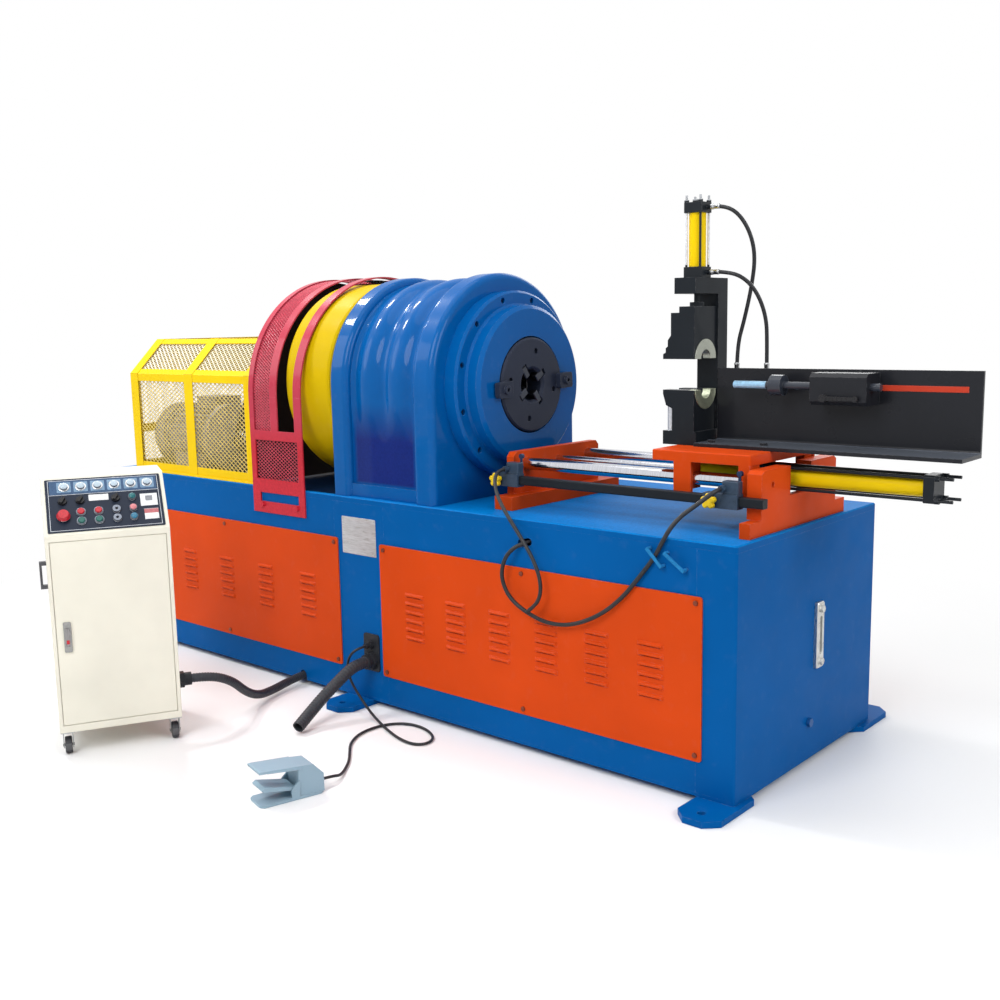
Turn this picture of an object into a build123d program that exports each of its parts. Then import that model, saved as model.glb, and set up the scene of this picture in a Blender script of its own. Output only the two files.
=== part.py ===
"""Pipe embossing machine: welded bed, belt-driven headstock, hydraulic feed carriage with clamp tower,
limit switches, control cabinet on castors and foot switch. Millimetres, +Z up, +X towards the feed end,
+Y to the rear, origin on the floor in the middle of the corner foot bolts."""

import os
from math import acos, atan2, cos, degrees, hypot, pi, radians, sin, tan

from build123d import *

os.makedirs("parts", exist_ok=True)

# Bed
BED_L = 3380.0
BED_W = 980.0
BED_TOP = 820.0
FOOT_T = 20.0
WALL = 12.0
TOP_T = 22.0
FOOT_X = 150.0
FOOT_Y = 280.0
FOOT_CUT = 42.0
FOOT_BOLT_R = 13.0
FOOT_BOLT_OUT = 85.0
FOOT_INSET = 55.0
FOOT_REACH = 95.0
BOLT_DX = BED_L - 2 * FOOT_INSET
BOLT_DY = BED_W + 2 * FOOT_REACH
MID_FOOT_X = 20.0
BED_CORNER = 8.0
BULKHEAD_X = (43.5, 953.5)
NOTCH_X = -335.0
NOTCH_Z = 38.0
NOTCH_R = 21.0
CONDUIT_IN = 50.0
CONDUIT_END = CONDUIT_IN - BED_W / 2
CONDUIT_BLOCK = 28.0
CABLE_SLOT = (884.0, 740.0)
STRAP_OUT = 22.0
STRAP_T = 4.0
STRAP_LEG = 8.0
STRAP_W = 11.0
STRAPS = (((1387.0, 784.0), (1442.0, 729.0)), ((1450.0, 776.0), (1522.0, 726.0)))
# Louvred side panels
PANEL_EDGE = 113.0
POST_X0 = -77.0
POST_X1 = 164.0
PANEL_Z0 = 133.0
PANEL_Z1 = 652.0
PANEL_T = 5.0
PANEL_LAP = 22.0
LOUVRE_W = 96.0
LOUVRE_H = 17.0
LOUVRE_PITCH = 33.0
LOUVRE_ROWS = 6
# Spindle axis, headstock and drive
AXIS_IN = 430.0
AX_Y = AXIS_IN - BED_W / 2
AX_Z = BED_TOP + 423.0
HEAD_R = 420.0
HEAD_X0 = -110.0
HEAD_X1 = 450.0
HEAD_REAR_T = 100.0
HEAD_FRONT_T = 105.0
HEAD_RIM = 24.0
HEAD_SKIN = 40.0
HEAD_BASE_H = 50.0
SLEEVE_R = 215.0
RIB_CREST = 408.0
RIB_VALLEY = 388.0
RIB_CORE = 352.0
CREST_SHARE = 0.65
RIBS = 2
RING_R = 352.0
RING_T = 57.0
BOSS_R = 297.0
BOSS_T = 60.0
DISC_R = 178.0
BORE_R = 60.0
JOURNAL_R = 110.0
TAIL_R = 75.0
BEARING_R = 170.0
WHEEL_R = 402.0
WHEEL_X0 = -400.0
WHEEL_X1 = -125.0
PULLEY_X0 = -958.0
PULLEY_W = 90.0
PULLEY_R = 165.0
MOTOR_PULLEY_R = 65.0
GROOVES = 4
GROOVE_PITCH = 20.0
MOTOR_Y = AX_Y - 210.0
MOTOR_H = 160.0
MOTOR_R = 150.0
MOTOR_X0 = -1470.0
MOTOR_X1 = -1000.0
# Guards
CAGE_X0 = -1546.0
CAGE_X1 = -610.0
CAGE_HALF = BED_W / 2 - 20.0
CAGE_H = 610.0
CAGE_CUT = 155.0
CAGE_BAR = 42.0
GUARD_X0 = -605.0
GUARD_X1 = -267.0
GUARD_SHIFT = 48.0
GUARD_Y = AX_Y + GUARD_SHIFT
GUARD_Z = AX_Z - 49.0
GUARD_R = AXIS_IN + GUARD_SHIFT
GUARD_T = 6.0
SHEET = 5.0
# Feed unit
ROD_Z = BED_TOP + 152.0
ROD_OFF = 185.0
ROD_R = 22.0
FEED_ROD_R = 12.5
BASE_HALF = 325.0
UPRIGHT_HALF = 255.0
LEFT_X = 660.0
RIGHT_X = BED_L / 2 - 18.0
TABLE_L = 357.0
TABLE_X1 = RIGHT_X - 60.0
TABLE_X0 = TABLE_X1 - TABLE_L
TABLE_HALF = 220.0
TABLE_Z0 = BED_TOP + 206.0
TABLE_T = 34.0
TABLE_TOP = TABLE_Z0 + TABLE_T
BARREL_R = 28.0
BARREL_BORE = 25.5
FEED_END = TABLE_X1 + 464.0
FEED_CAP = 84.0
# Clamp tower, trough and pipe stop
TOWER_X = TABLE_X0 + 32.0
TOWER_W = 80.0
COLUMN_Y0 = AX_Y + 70.0
COLUMN_Y1 = AX_Y + 130.0
ARM_Z0 = AX_Z + 315.0
ARM_T = 52.0
JAW_X0 = TOWER_X - 87.0
JAW_X1 = JAW_X0 + 120.0
JAW_HALF = 70.0
JAW_GAP = 102.0
DIE_R = 65.0
DIE_BORE = 30.0
CLAMP_BARREL = 174.0
CLAMP_CAP = 68.0
TROUGH_X0 = TOWER_X + 45.0
TROUGH_X1 = TROUGH_X0 + 868.0
TROUGH_TOP = AX_Z + 69.0
TROUGH_DEPTH = 162.0
STOP_Z = AX_Z + 19.0
STOP_R = 12.0
# Limit-switch rail
RAIL_Y = AX_Y - 270.0
RAIL_Z = BED_TOP + 103.0
RAIL_S = 30.0
SWITCH_L_X = 650.0
SWITCH_R_X = RIGHT_X - 152.0
SWITCH_BOX0 = 34.0
SWITCH_BOX1 = 90.0
# Cabinet, local frame: x to the right seen from its front, y to its back
CAB_AT = (-297.0, -1346.0)
CAB_TURN = 62.87
CAB_W = 414.0
CAB_D = 380.0
CAB_Z0 = 85.0
CAB_SLOPE_Z = 785.0
CAB_TOP = 965.0
CAB_SLOPE_D = 170.0
CAB_SHEET = 4.0
CASTER_R = 30.0
GLAND_Y = 30.0
GLAND_Z = 207.0
GLAND_OUT = 46.0
# Foot switch
PEDAL_AT = (522.0, -1254.0)
PEDAL_TURN = 75.0
PEDAL_L = 216.0
PEDAL_W = 100.0
PEDAL_GLAND_Z = 26.0


def block(x0, x1, y0, y1, z0, z1, mode=Mode.ADD):
    """A plain bar between two corners."""
    with Locations(((x0 + x1) / 2, (y0 + y1) / 2, (z0 + z1) / 2)):
        Box(x1 - x0, y1 - y0, z1 - z0, mode=mode)


def rod_x(x0, x1, y, z, r, mode=Mode.ADD):
    """A round bar along X."""
    with Locations(Location(((x0 + x1) / 2, y, z), (0, 90, 0))):
        Cylinder(r, x1 - x0, mode=mode)


def rod_z(x, y, z0, z1, r, mode=Mode.ADD):
    """A round bar along Z."""
    with Locations((x, y, (z0 + z1) / 2)):
        Cylinder(r, z1 - z0, mode=mode)


def turned(points, axis_y, axis_z):
    """A solid of revolution about a line along X, from (x, radius) points."""
    with BuildPart() as body:
        with BuildSketch(Plane((0, axis_y, axis_z))):
            with BuildLine():
                Polyline(*points, close=True)
            make_face()
        revolve(axis=Axis((0, axis_y, axis_z), (1, 0, 0)))
    return body.part


def side_outline(points, x0, x1):
    """A plate whose outline lies across the machine, from (y, z) points."""
    with BuildPart() as plate:
        with BuildSketch(Plane.YZ.offset(x0)):
            with BuildLine():
                Polyline(*points, close=True)
            make_face()
        extrude(amount=x1 - x0)
    return plate.part


def front_outline(points, y0, y1):
    """A block whose outline is seen from the front, from (x, z) points."""
    with BuildPart() as slab:
        with BuildSketch(Plane.XZ.offset(-y0)):
            with BuildLine():
                Polyline(*points, close=True)
            make_face()
        extrude(amount=-(y1 - y0))
    return slab.part


def bend_radii(points):
    """Corner radii that leave a short straight between neighbouring bends."""
    radii = []
    for a, b, c in zip(points, points[1:], points[2:]):
        run_in = Vector(*b) - Vector(*a)
        run_out = Vector(*c) - Vector(*b)
        half = radians(run_in.get_angle(run_out)) / 2
        radii.append(0.45 * min(run_in.length, run_out.length) / tan(half))
    return radii


def flexible(points, r, name):
    """A cable or hose: straight runs joined by tangent arcs."""
    radii = bend_radii(points)
    with BuildPart() as tube:
        with BuildLine() as path:
            FilletPolyline(*points, radius=radii)
        with BuildSketch(Plane(origin=path.line @ 0, z_dir=path.line % 0)):
            Circle(r)
        sweep(path=path.line)
    run = sum(edge.length for edge in path.edges())
    print(name, "length", round(run), "least bend", round(min(radii)), "of", round(r * 2, 1),
          "volume ratio", round(tube.part.volume / (pi * r * r * run), 4))
    return tube.part


# Bed: plates welded into a box that stands on six foot plates
FLOOR_Z = FOOT_T + WALL
LID_Z = BED_TOP - TOP_T
BED_FRONT = Plane.XZ.offset(BED_W / 2)
WINDOWS = (
    (-BED_L / 2 + PANEL_EDGE + PANEL_LAP, POST_X0 - PANEL_LAP),
    (POST_X1 + PANEL_LAP, BED_L / 2 - PANEL_EDGE - PANEL_LAP),
)


def slab(x0, x1, y0, y1, z0, z1):
    """A plain plate by itself."""
    with BuildPart() as plate:
        block(x0, x1, y0, y1, z0, z1)
    return plate.part


# Arched notch of the supply conduit and slot of the switch cable in the front wall
with BuildSketch(BED_FRONT.offset(1)) as front_openings:
    with Locations((NOTCH_X, NOTCH_Z)):
        Circle(NOTCH_R)
    with Locations((NOTCH_X, NOTCH_Z / 2)):
        Rectangle(2 * NOTCH_R, NOTCH_Z)
    with Locations(CABLE_SLOT):
        SlotOverall(62, 26, rotation=12)


def wall_bar(side, x0, x1, z0, z1):
    """One post or rail of the front or back wall, rounded at the corners of the bed."""
    y0, y1 = sorted((side * BED_W / 2, side * (BED_W / 2 - WALL)))
    with BuildPart() as bar:
        block(x0, x1, y0, y1, z0, z1)
        upright = bar.edges().filter_by(Axis.Z)
        upright = upright.filter_by(lambda edge: abs(edge.center().Y) > BED_W / 2 - 1)
        corners = upright.filter_by(lambda edge: abs(edge.center().X) > BED_L / 2 - 1)
        if corners:
            fillet(corners, BED_CORNER)
        if side < 0:
            extrude(front_openings.sketch, amount=-WALL - 2, mode=Mode.SUBTRACT)
    return bar.part


def long_wall(side):
    """Three posts, and rails above and below the windows behind the louvred panels."""
    (left_x0, left_x1), (right_x0, right_x1) = WINDOWS
    bars = [
        wall_bar(side, -BED_L / 2, left_x0, FLOOR_Z, LID_Z),
        wall_bar(side, left_x1, right_x0, FLOOR_Z, LID_Z),
        wall_bar(side, right_x1, BED_L / 2, FLOOR_Z, LID_Z),
    ]
    for x0, x1 in WINDOWS:
        bars.append(wall_bar(side, x0, x1, FLOOR_Z, PANEL_Z0 + PANEL_LAP))
        bars.append(wall_bar(side, x0, x1, PANEL_Z1 - PANEL_LAP, LID_Z))
    return bars


def foot_plate(x, side):
    """Floor plate with cut corners and its bolt hole outside the bed."""
    with BuildPart() as foot:
        with BuildSketch(Plane((x, side * (BOLT_DY / 2 - FOOT_BOLT_OUT), 0))):
            Rectangle(FOOT_X, FOOT_Y)
            chamfer(vertices(), FOOT_CUT)
            with Locations((0, side * FOOT_BOLT_OUT)):
                Circle(FOOT_BOLT_R, mode=Mode.SUBTRACT)
        extrude(amount=FOOT_T)
    return foot.part


def cable_strap(start, end):
    """Flat strap standing off the front wall over a cable."""
    reach = hypot(end[0] - start[0], end[1] - start[1])
    middle = ((start[0] + end[0]) / 2, (start[1] + end[1]) / 2)
    tilt = degrees(atan2(end[1] - start[1], end[0] - start[0]))
    with BuildPart() as strap:
        with BuildSketch(BED_FRONT):
            with Locations(middle):
                Rectangle(reach, STRAP_W, rotation=tilt)
        extrude(amount=STRAP_OUT)
        with BuildSketch(BED_FRONT):
            with Locations(middle):
                Rectangle(reach - 2 * STRAP_LEG, STRAP_W + 1, rotation=tilt)
        extrude(amount=STRAP_OUT - STRAP_T, mode=Mode.SUBTRACT)
    return strap.part


with BuildPart() as top_plate:
    with BuildSketch(Plane.XY.offset(LID_Z)):
        RectangleRounded(BED_L, BED_W, BED_CORNER)
    extrude(amount=TOP_T)
    chamfer(top_plate.faces().sort_by(Axis.Z)[-1].edges(), 4)

with BuildPart() as floor_plate:
    with BuildSketch(Plane.XY.offset(FOOT_T)):
        RectangleRounded(BED_L, BED_W, BED_CORNER)
        with Locations((NOTCH_X, -BED_W / 2)):
            Rectangle(2 * NOTCH_R, 2 * CONDUIT_IN, mode=Mode.SUBTRACT)
    extrude(amount=WALL)

inner_y = BED_W / 2 - WALL
bed_plates = [top_plate.part, floor_plate.part] + long_wall(-1) + long_wall(1)
for x0 in (-BED_L / 2, BED_L / 2 - WALL):
    bed_plates.append(slab(x0, x0 + WALL, -inner_y, inner_y, FLOOR_Z, LID_Z))
for x in BULKHEAD_X:
    bed_plates.append(slab(x - WALL / 2, x + WALL / 2, -inner_y, inner_y, FLOOR_Z, LID_Z))
for x in (-BOLT_DX / 2, MID_FOOT_X, BOLT_DX / 2):
    bed_plates += [foot_plate(x, -1), foot_plate(x, 1)]
bed_plates.append(slab(NOTCH_X - CONDUIT_BLOCK, NOTCH_X + CONDUIT_BLOCK, CONDUIT_END,
                       CONDUIT_END + CONDUIT_BLOCK, FLOOR_Z, NOTCH_Z + CONDUIT_BLOCK))
bed_plates += [cable_strap(start, end) for start, end in STRAPS]
bed_frame = Compound([plate.solid() for plate in bed_plates])

# Louvred panels, two on the front and two on the back
PANEL_SPANS = (
    (-BED_L / 2 + PANEL_EDGE, POST_X0, 5),
    (POST_X1, BED_L / 2 - PANEL_EDGE, 6),
)
PANEL_H = PANEL_Z1 - PANEL_Z0
PANEL_MID = (PANEL_Z0 + PANEL_Z1) / 2
with BuildPart() as side_panels:
    for x0, x1, columns in PANEL_SPANS:
        for side in (-1, 1):
            face = Plane(origin=((x0 + x1) / 2, side * BED_W / 2, PANEL_MID),
                         x_dir=(-side, 0, 0), z_dir=(0, side, 0))
            spread = (x1 - x0) * 0.74 / (columns - 1)
            with BuildSketch(face):
                RectangleRounded(x1 - x0, PANEL_H, 10)
            extrude(amount=PANEL_T)
            with BuildSketch(face.offset(PANEL_T)):
                with GridLocations(spread, LOUVRE_PITCH, columns, LOUVRE_ROWS):
                    Rectangle(LOUVRE_W, LOUVRE_H)
            extrude(amount=7, taper=35)
            with BuildSketch(face):
                with Locations((0, -LOUVRE_H / 2 + 3.5)):
                    with GridLocations(spread, LOUVRE_PITCH, columns, LOUVRE_ROWS):
                        Rectangle(LOUVRE_W - 22, 4)
            extrude(amount=PANEL_T + 8, mode=Mode.SUBTRACT)

# Panel screws and the socket screws of the front cover
COVER_SCREW_R = 325.0
COVER_X = HEAD_X1 + RING_T
with BuildPart() as screws:
    for x0, x1, columns in PANEL_SPANS:
        for side in (-1, 1):
            face = Plane(origin=((x0 + x1) / 2, side * (BED_W / 2 + PANEL_T), PANEL_MID),
                         x_dir=(-side, 0, 0), z_dir=(0, side, 0))
            with BuildSketch(face):
                with GridLocations((x1 - x0 - 44) / 2, PANEL_H - 40, 3, 2):
                    RegularPolygon(9, 8)
            extrude(amount=5, taper=12)
    with BuildSketch(Plane.YZ.offset(COVER_X - 22)):
        with Locations((AX_Y, AX_Z)):
            with PolarLocations(COVER_SCREW_R, 12, start_angle=15):
                RegularPolygon(9.5, 10)
                RegularPolygon(5, 6, mode=Mode.SUBTRACT)
    extrude(amount=12)

# Oil tank with pump motor inside the feed end of the bed
TANK_X0 = BED_L / 2 - 560
TANK_X1 = BED_L / 2 - WALL
TANK_Z1 = 520.0
TANK_HALF = 380.0
TANK_SHEET = 6.0
with BuildPart() as hydraulic_unit:
    block(TANK_X0, TANK_X1, -TANK_HALF, TANK_HALF, FLOOR_Z, TANK_Z1)
    block(TANK_X0 + TANK_SHEET, TANK_X1 - TANK_SHEET, -TANK_HALF + TANK_SHEET, TANK_HALF - TANK_SHEET,
          FLOOR_Z + TANK_SHEET, TANK_Z1 - TANK_SHEET, mode=Mode.SUBTRACT)
    with Locations((TANK_X0 + 190, 120, TANK_Z1)):
        Cylinder(120, 14, align=(Align.CENTER, Align.CENTER, Align.MIN))
        Cylinder(92, 230, align=(Align.CENTER, Align.CENTER, Align.MIN))
        Cylinder(70, 258, align=(Align.CENTER, Align.CENTER, Align.MIN))
    block(TANK_X0 + 330, TANK_X0 + 470, -200, -60, TANK_Z1, TANK_Z1 + 110)
    # Filler neck
    rod_z(TANK_X0 + 400, 230, TANK_Z1, TANK_Z1 + 70, 38)
    rod_z(TANK_X0 + 400, 230, TANK_Z1 - TANK_SHEET - 1, TANK_Z1 + 60, 30, mode=Mode.SUBTRACT)
    rod_z(TANK_X0 + 400, 230, TANK_Z1 + 50, TANK_Z1 + 71, 12, mode=Mode.SUBTRACT)

# Oil level glass on the right end, with its two banjo bolts, and the drain plug
GAUGE_Y = 46.0
with BuildPart() as oil_gauge:
    with BuildSketch(Plane.YZ.offset(BED_L / 2)):
        with Locations((GAUGE_Y, 438)):
            RectangleRounded(48, 224, 8)
    extrude(amount=14)
    chamfer(oil_gauge.faces().sort_by(Axis.X)[-1].edges(), 3)
    with BuildSketch(Plane.YZ.offset(BED_L / 2 + 14)):
        with Locations((GAUGE_Y, 438)):
            SlotOverall(130, 18, rotation=90)
    extrude(amount=-8, mode=Mode.SUBTRACT)
    with BuildSketch(Plane.YZ.offset(BED_L / 2 + 14)):
        with Locations((GAUGE_Y, 438)):
            with GridLocations(1, 178, 1, 2):
                RegularPolygon(12, 6)
    extrude(amount=9)
    with BuildSketch(Plane.YZ.offset(BED_L / 2)):
        with Locations((-5, 149)):
            RegularPolygon(15, 6)
    extrude(amount=12)

# Headstock casting: two arched end plates, a ribbed barrel, a bearing sleeve and a base flange
RIB_X0 = HEAD_X0 + HEAD_REAR_T - 4
RIB_X1 = HEAD_X1 - HEAD_FRONT_T + 4
RIB_PITCH = (RIB_X1 - RIB_X0) / (RIBS + 1 - CREST_SHARE)
RIB_MEAN = RIB_CREST - CREST_SHARE * (RIB_CREST - RIB_VALLEY)
with BuildPart() as headstock:
    for x0, thick in ((HEAD_X0, HEAD_REAR_T), (HEAD_X1 - HEAD_FRONT_T, HEAD_FRONT_T)):
        with BuildSketch(Plane.YZ.offset(x0)):
            with Locations((AX_Y, AX_Z)):
                Circle(HEAD_R)
            with Locations((AX_Y, (AX_Z + BED_TOP) / 2)):
                Rectangle(2 * HEAD_R, AX_Z - BED_TOP)
        extrude(amount=thick)
    rims = headstock.faces().filter_by(Axis.X).edges()
    rims = rims.filter_by(lambda edge: edge.center().Z > BED_TOP + 5)
    fillet(rims, HEAD_RIM)
    # Barrel: broad crests between narrow valleys, turned about the spindle axis
    with BuildSketch(Plane((0, AX_Y, AX_Z))):
        with BuildLine():
            rib_x = RIB_X0
            for n in range(2 * RIBS + 1):
                crest = n % 2 == 1
                reach = RIB_PITCH * (CREST_SHARE if crest else 1 - CREST_SHARE)
                ThreePointArc((rib_x, RIB_MEAN), (rib_x + reach / 2, RIB_CREST if crest else RIB_VALLEY),
                              (rib_x + reach, RIB_MEAN))
                rib_x += reach
            Polyline((rib_x, RIB_MEAN), (rib_x, RIB_CORE - 2), (RIB_X0, RIB_CORE - 2), (RIB_X0, RIB_MEAN))
        make_face()
    revolve(axis=Axis((0, AX_Y, AX_Z), (1, 0, 0)))
    block(RIB_X0, RIB_X1, AX_Y - HEAD_R + 15, AX_Y + HEAD_R - 15, BED_TOP, BED_TOP + HEAD_BASE_H)
    # Hollow round the bearing sleeve, open to the bed below
    rod_x(HEAD_X0 + HEAD_SKIN, HEAD_X1 - HEAD_SKIN, AX_Y, AX_Z, RIB_CORE, mode=Mode.SUBTRACT)
    rod_x(HEAD_X0, HEAD_X1, AX_Y, AX_Z, SLEEVE_R)
    block(RIB_X0 + HEAD_SKIN, RIB_X1 - HEAD_SKIN, AX_Y - SLEEVE_R / 2, AX_Y + SLEEVE_R / 2,
          BED_TOP - 1, AX_Z - SLEEVE_R - HEAD_SKIN, mode=Mode.SUBTRACT)
    rod_x(HEAD_X0 - 1, HEAD_X1 + 1, AX_Y, AX_Z, BEARING_R, mode=Mode.SUBTRACT)

# Stepped front cover with its ring of counterbored screws
with BuildPart() as front_cover:
    add(turned([
        (HEAD_X1, 150), (HEAD_X1, RING_R), (COVER_X - 8, RING_R), (COVER_X, RING_R - 8),
        (COVER_X, BOSS_R + 8), (COVER_X + 6, BOSS_R), (COVER_X + BOSS_T - 12, BOSS_R),
        (COVER_X + BOSS_T, BOSS_R - 14), (COVER_X + BOSS_T, DISC_R + 4), (COVER_X - 10, DISC_R + 4),
        (COVER_X - 10, 150),
    ], AX_Y, AX_Z))
    with BuildSketch(Plane.YZ.offset(COVER_X)):
        with Locations((AX_Y, AX_Z)):
            with PolarLocations(COVER_SCREW_R, 12, start_angle=15):
                Circle(11)
    extrude(amount=-22, mode=Mode.SUBTRACT)

# Hollow spindle: front flange, journals, wheel seat and tail
with BuildPart() as spindle:
    add(turned([
        (PULLEY_X0 - 28, BORE_R), (PULLEY_X0 - 28, TAIL_R - 3), (PULLEY_X0 - 25, TAIL_R),
        (WHEEL_X0 - 20, TAIL_R), (WHEEL_X0 - 20, JOURNAL_R), (HEAD_X1 - 30, JOURNAL_R),
        (HEAD_X1 - 30, 146), (COVER_X - 9.5, 146), (COVER_X - 9.5, BORE_R),
    ], AX_Y, AX_Z))

# Main bearings of the headstock
with BuildPart() as spindle_bearings:
    for x0 in (HEAD_X0 + 12, HEAD_X1 - 125):
        add(turned([
            (x0, JOURNAL_R + 0.05), (x0, JOURNAL_R + 22), (x0 + 6, JOURNAL_R + 24), (x0 + 6, BEARING_R - 24),
            (x0, BEARING_R - 22), (x0, BEARING_R), (x0 + 84, BEARING_R), (x0 + 84, BEARING_R - 22),
            (x0 + 78, BEARING_R - 24), (x0 + 78, JOURNAL_R + 24), (x0 + 84, JOURNAL_R + 22),
            (x0 + 84, JOURNAL_R + 0.05),
        ], AX_Y, AX_Z))

# Die head: disc with four radial slots round the bore and two bolted lugs on its rim
DISC_X0 = COVER_X - 9.5
DISC_X1 = COVER_X + BOSS_T + 8
INSERT_AT = 58.0
INSERT_L = 46.0
INSERT_W = 26.0
INSERT_DEPTH = 34.0
with BuildPart() as die_head:
    add(turned([
        (DISC_X0, BORE_R), (DISC_X0, DISC_R - 1), (DISC_X1 - 6, DISC_R - 1), (DISC_X1, DISC_R - 7),
        (DISC_X1, BORE_R + 10), (DISC_X1 - 10, BORE_R),
    ], AX_Y, AX_Z))
    with BuildSketch(Plane.YZ.offset(DISC_X1)):
        with Locations((AX_Y, AX_Z)):
            with PolarLocations(INSERT_AT, 4, start_angle=35):
                Rectangle(INSERT_L + 14, INSERT_W + 0.4)
    extrude(amount=-INSERT_DEPTH, mode=Mode.SUBTRACT)
    with BuildSketch(Plane.YZ.offset(DISC_X1)):
        with Locations((AX_Y, AX_Z)):
            with PolarLocations(128, 4, start_angle=80):
                Circle(11)
    extrude(amount=-14, mode=Mode.SUBTRACT)
    with BuildSketch(Plane.YZ.offset(DISC_X1)):
        with Locations((AX_Y, AX_Z)):
            with PolarLocations(DISC_R, 2, start_angle=3):
                RectangleRounded(74, 58, 8)
    extrude(amount=24)
    with BuildSketch(Plane.YZ.offset(DISC_X1 + 24)):
        with Locations((AX_Y, AX_Z)):
            with PolarLocations(DISC_R, 2, start_angle=3):
                Circle(16)
                RegularPolygon(8, 6, mode=Mode.SUBTRACT)
    extrude(amount=10)

# Forming inserts in the slots of the die head
with BuildPart() as die_inserts:
    with BuildSketch(Plane.YZ.offset(DISC_X1 - INSERT_DEPTH)):
        with Locations((AX_Y, AX_Z)):
            with PolarLocations(INSERT_AT, 4, start_angle=35):
                Rectangle(INSERT_L, INSERT_W)
    extrude(amount=INSERT_DEPTH - 3)
    chamfer(die_inserts.faces().sort_by(Axis.X)[-4:].edges(), 3)

# Flywheel: broad rim on a drilled web
WEB_X = (WHEEL_X0 + WHEEL_X1) / 2
with BuildPart() as flywheel:
    add(turned([
        (WHEEL_X0, WHEEL_R - 14), (WHEEL_X0 + 5, WHEEL_R - 4), (WHEEL_X0 + 16, WHEEL_R),
        (WHEEL_X1 - 16, WHEEL_R), (WHEEL_X1 - 5, WHEEL_R - 4), (WHEEL_X1, WHEEL_R - 14),
        (WHEEL_X1, WHEEL_R - 44), (WEB_X + 18, WHEEL_R - 52), (WEB_X + 18, 175), (WEB_X + 80, 165),
        (WEB_X + 80, JOURNAL_R), (WEB_X - 80, JOURNAL_R), (WEB_X - 80, 165), (WEB_X - 18, 175),
        (WEB_X - 18, WHEEL_R - 52), (WHEEL_X0, WHEEL_R - 44),
    ], AX_Y, AX_Z))
    with BuildSketch(Plane.YZ.offset(WEB_X - 30)):
        with Locations((AX_Y, AX_Z)):
            with PolarLocations((WHEEL_R + 120) / 2, 6):
                Circle(62)
    extrude(amount=60, mode=Mode.SUBTRACT)


def grooved(x0, width, radius, hub_r, bore_r):
    """Outline of a V-belt pulley as (x, radius) points."""
    outline = [(x0, bore_r), (x0, radius)]
    first = x0 + width / 2 - GROOVE_PITCH * (GROOVES - 1) / 2
    for n in range(GROOVES):
        mid = first + n * GROOVE_PITCH
        outline += [(mid - 7.5, radius), (mid - 5, radius - 13), (mid + 5, radius - 13), (mid + 7.5, radius)]
    outline += [(x0 + width, radius), (x0 + width, radius - 20), (x0 + width - 24, radius - 20)]
    outline += [(x0 + width - 24, hub_r), (x0 + width, hub_r), (x0 + width, bore_r)]
    return outline


# Belt drive: large pulley on the spindle tail, small one on the motor
MOTOR_Z = BED_TOP + MOTOR_H
with BuildPart() as belt_pulley:
    add(turned(grooved(PULLEY_X0, PULLEY_W, PULLEY_R, 112, TAIL_R), AX_Y, AX_Z))

with BuildPart() as motor_pulley:
    add(turned(grooved(PULLEY_X0, PULLEY_W, MOTOR_PULLEY_R, 38, 21), MOTOR_Y, MOTOR_Z))

# Four V-belts, each a trapezoid swept round both pulleys
span_y = MOTOR_Y - AX_Y
span_z = MOTOR_Z - AX_Z
span = hypot(span_y, span_z)
lean = atan2(span_z, span_y)
big = PULLEY_R - 6.5
small = MOTOR_PULLEY_R - 6.5
wrap = acos((big - small) / span)
with BuildPart() as drive_belts:
    for n in range(GROOVES):
        belt_x = PULLEY_X0 + PULLEY_W / 2 + GROOVE_PITCH * (n - (GROOVES - 1) / 2)
        a0 = (AX_Y + big * cos(lean + wrap), AX_Z + big * sin(lean + wrap))
        a1 = (AX_Y + big * cos(lean - wrap), AX_Z + big * sin(lean - wrap))
        b0 = (MOTOR_Y + small * cos(lean + wrap), MOTOR_Z + small * sin(lean + wrap))
        b1 = (MOTOR_Y + small * cos(lean - wrap), MOTOR_Z + small * sin(lean - wrap))
        far_big = (AX_Y - big * cos(lean), AX_Z - big * sin(lean))
        far_small = (MOTOR_Y + small * cos(lean), MOTOR_Z + small * sin(lean))
        with BuildLine(Plane.YZ.offset(belt_x)) as loop:
            Line(a0, b0)
            ThreePointArc(b0, far_small, b1)
            Line(b1, a1)
            ThreePointArc(a1, far_big, a0)
        start = loop.line @ 0
        outward = Vector(0, a0[0] - AX_Y, a0[1] - AX_Z).normalized()
        with BuildSketch(Plane(origin=start, x_dir=(1, 0, 0), z_dir=Vector(1, 0, 0).cross(outward))):
            with BuildLine():
                Polyline((-4.8, -5.8), (4.8, -5.8), (6.8, 5), (-6.8, 5), close=True)
            make_face()
        sweep(path=loop.line)

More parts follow.
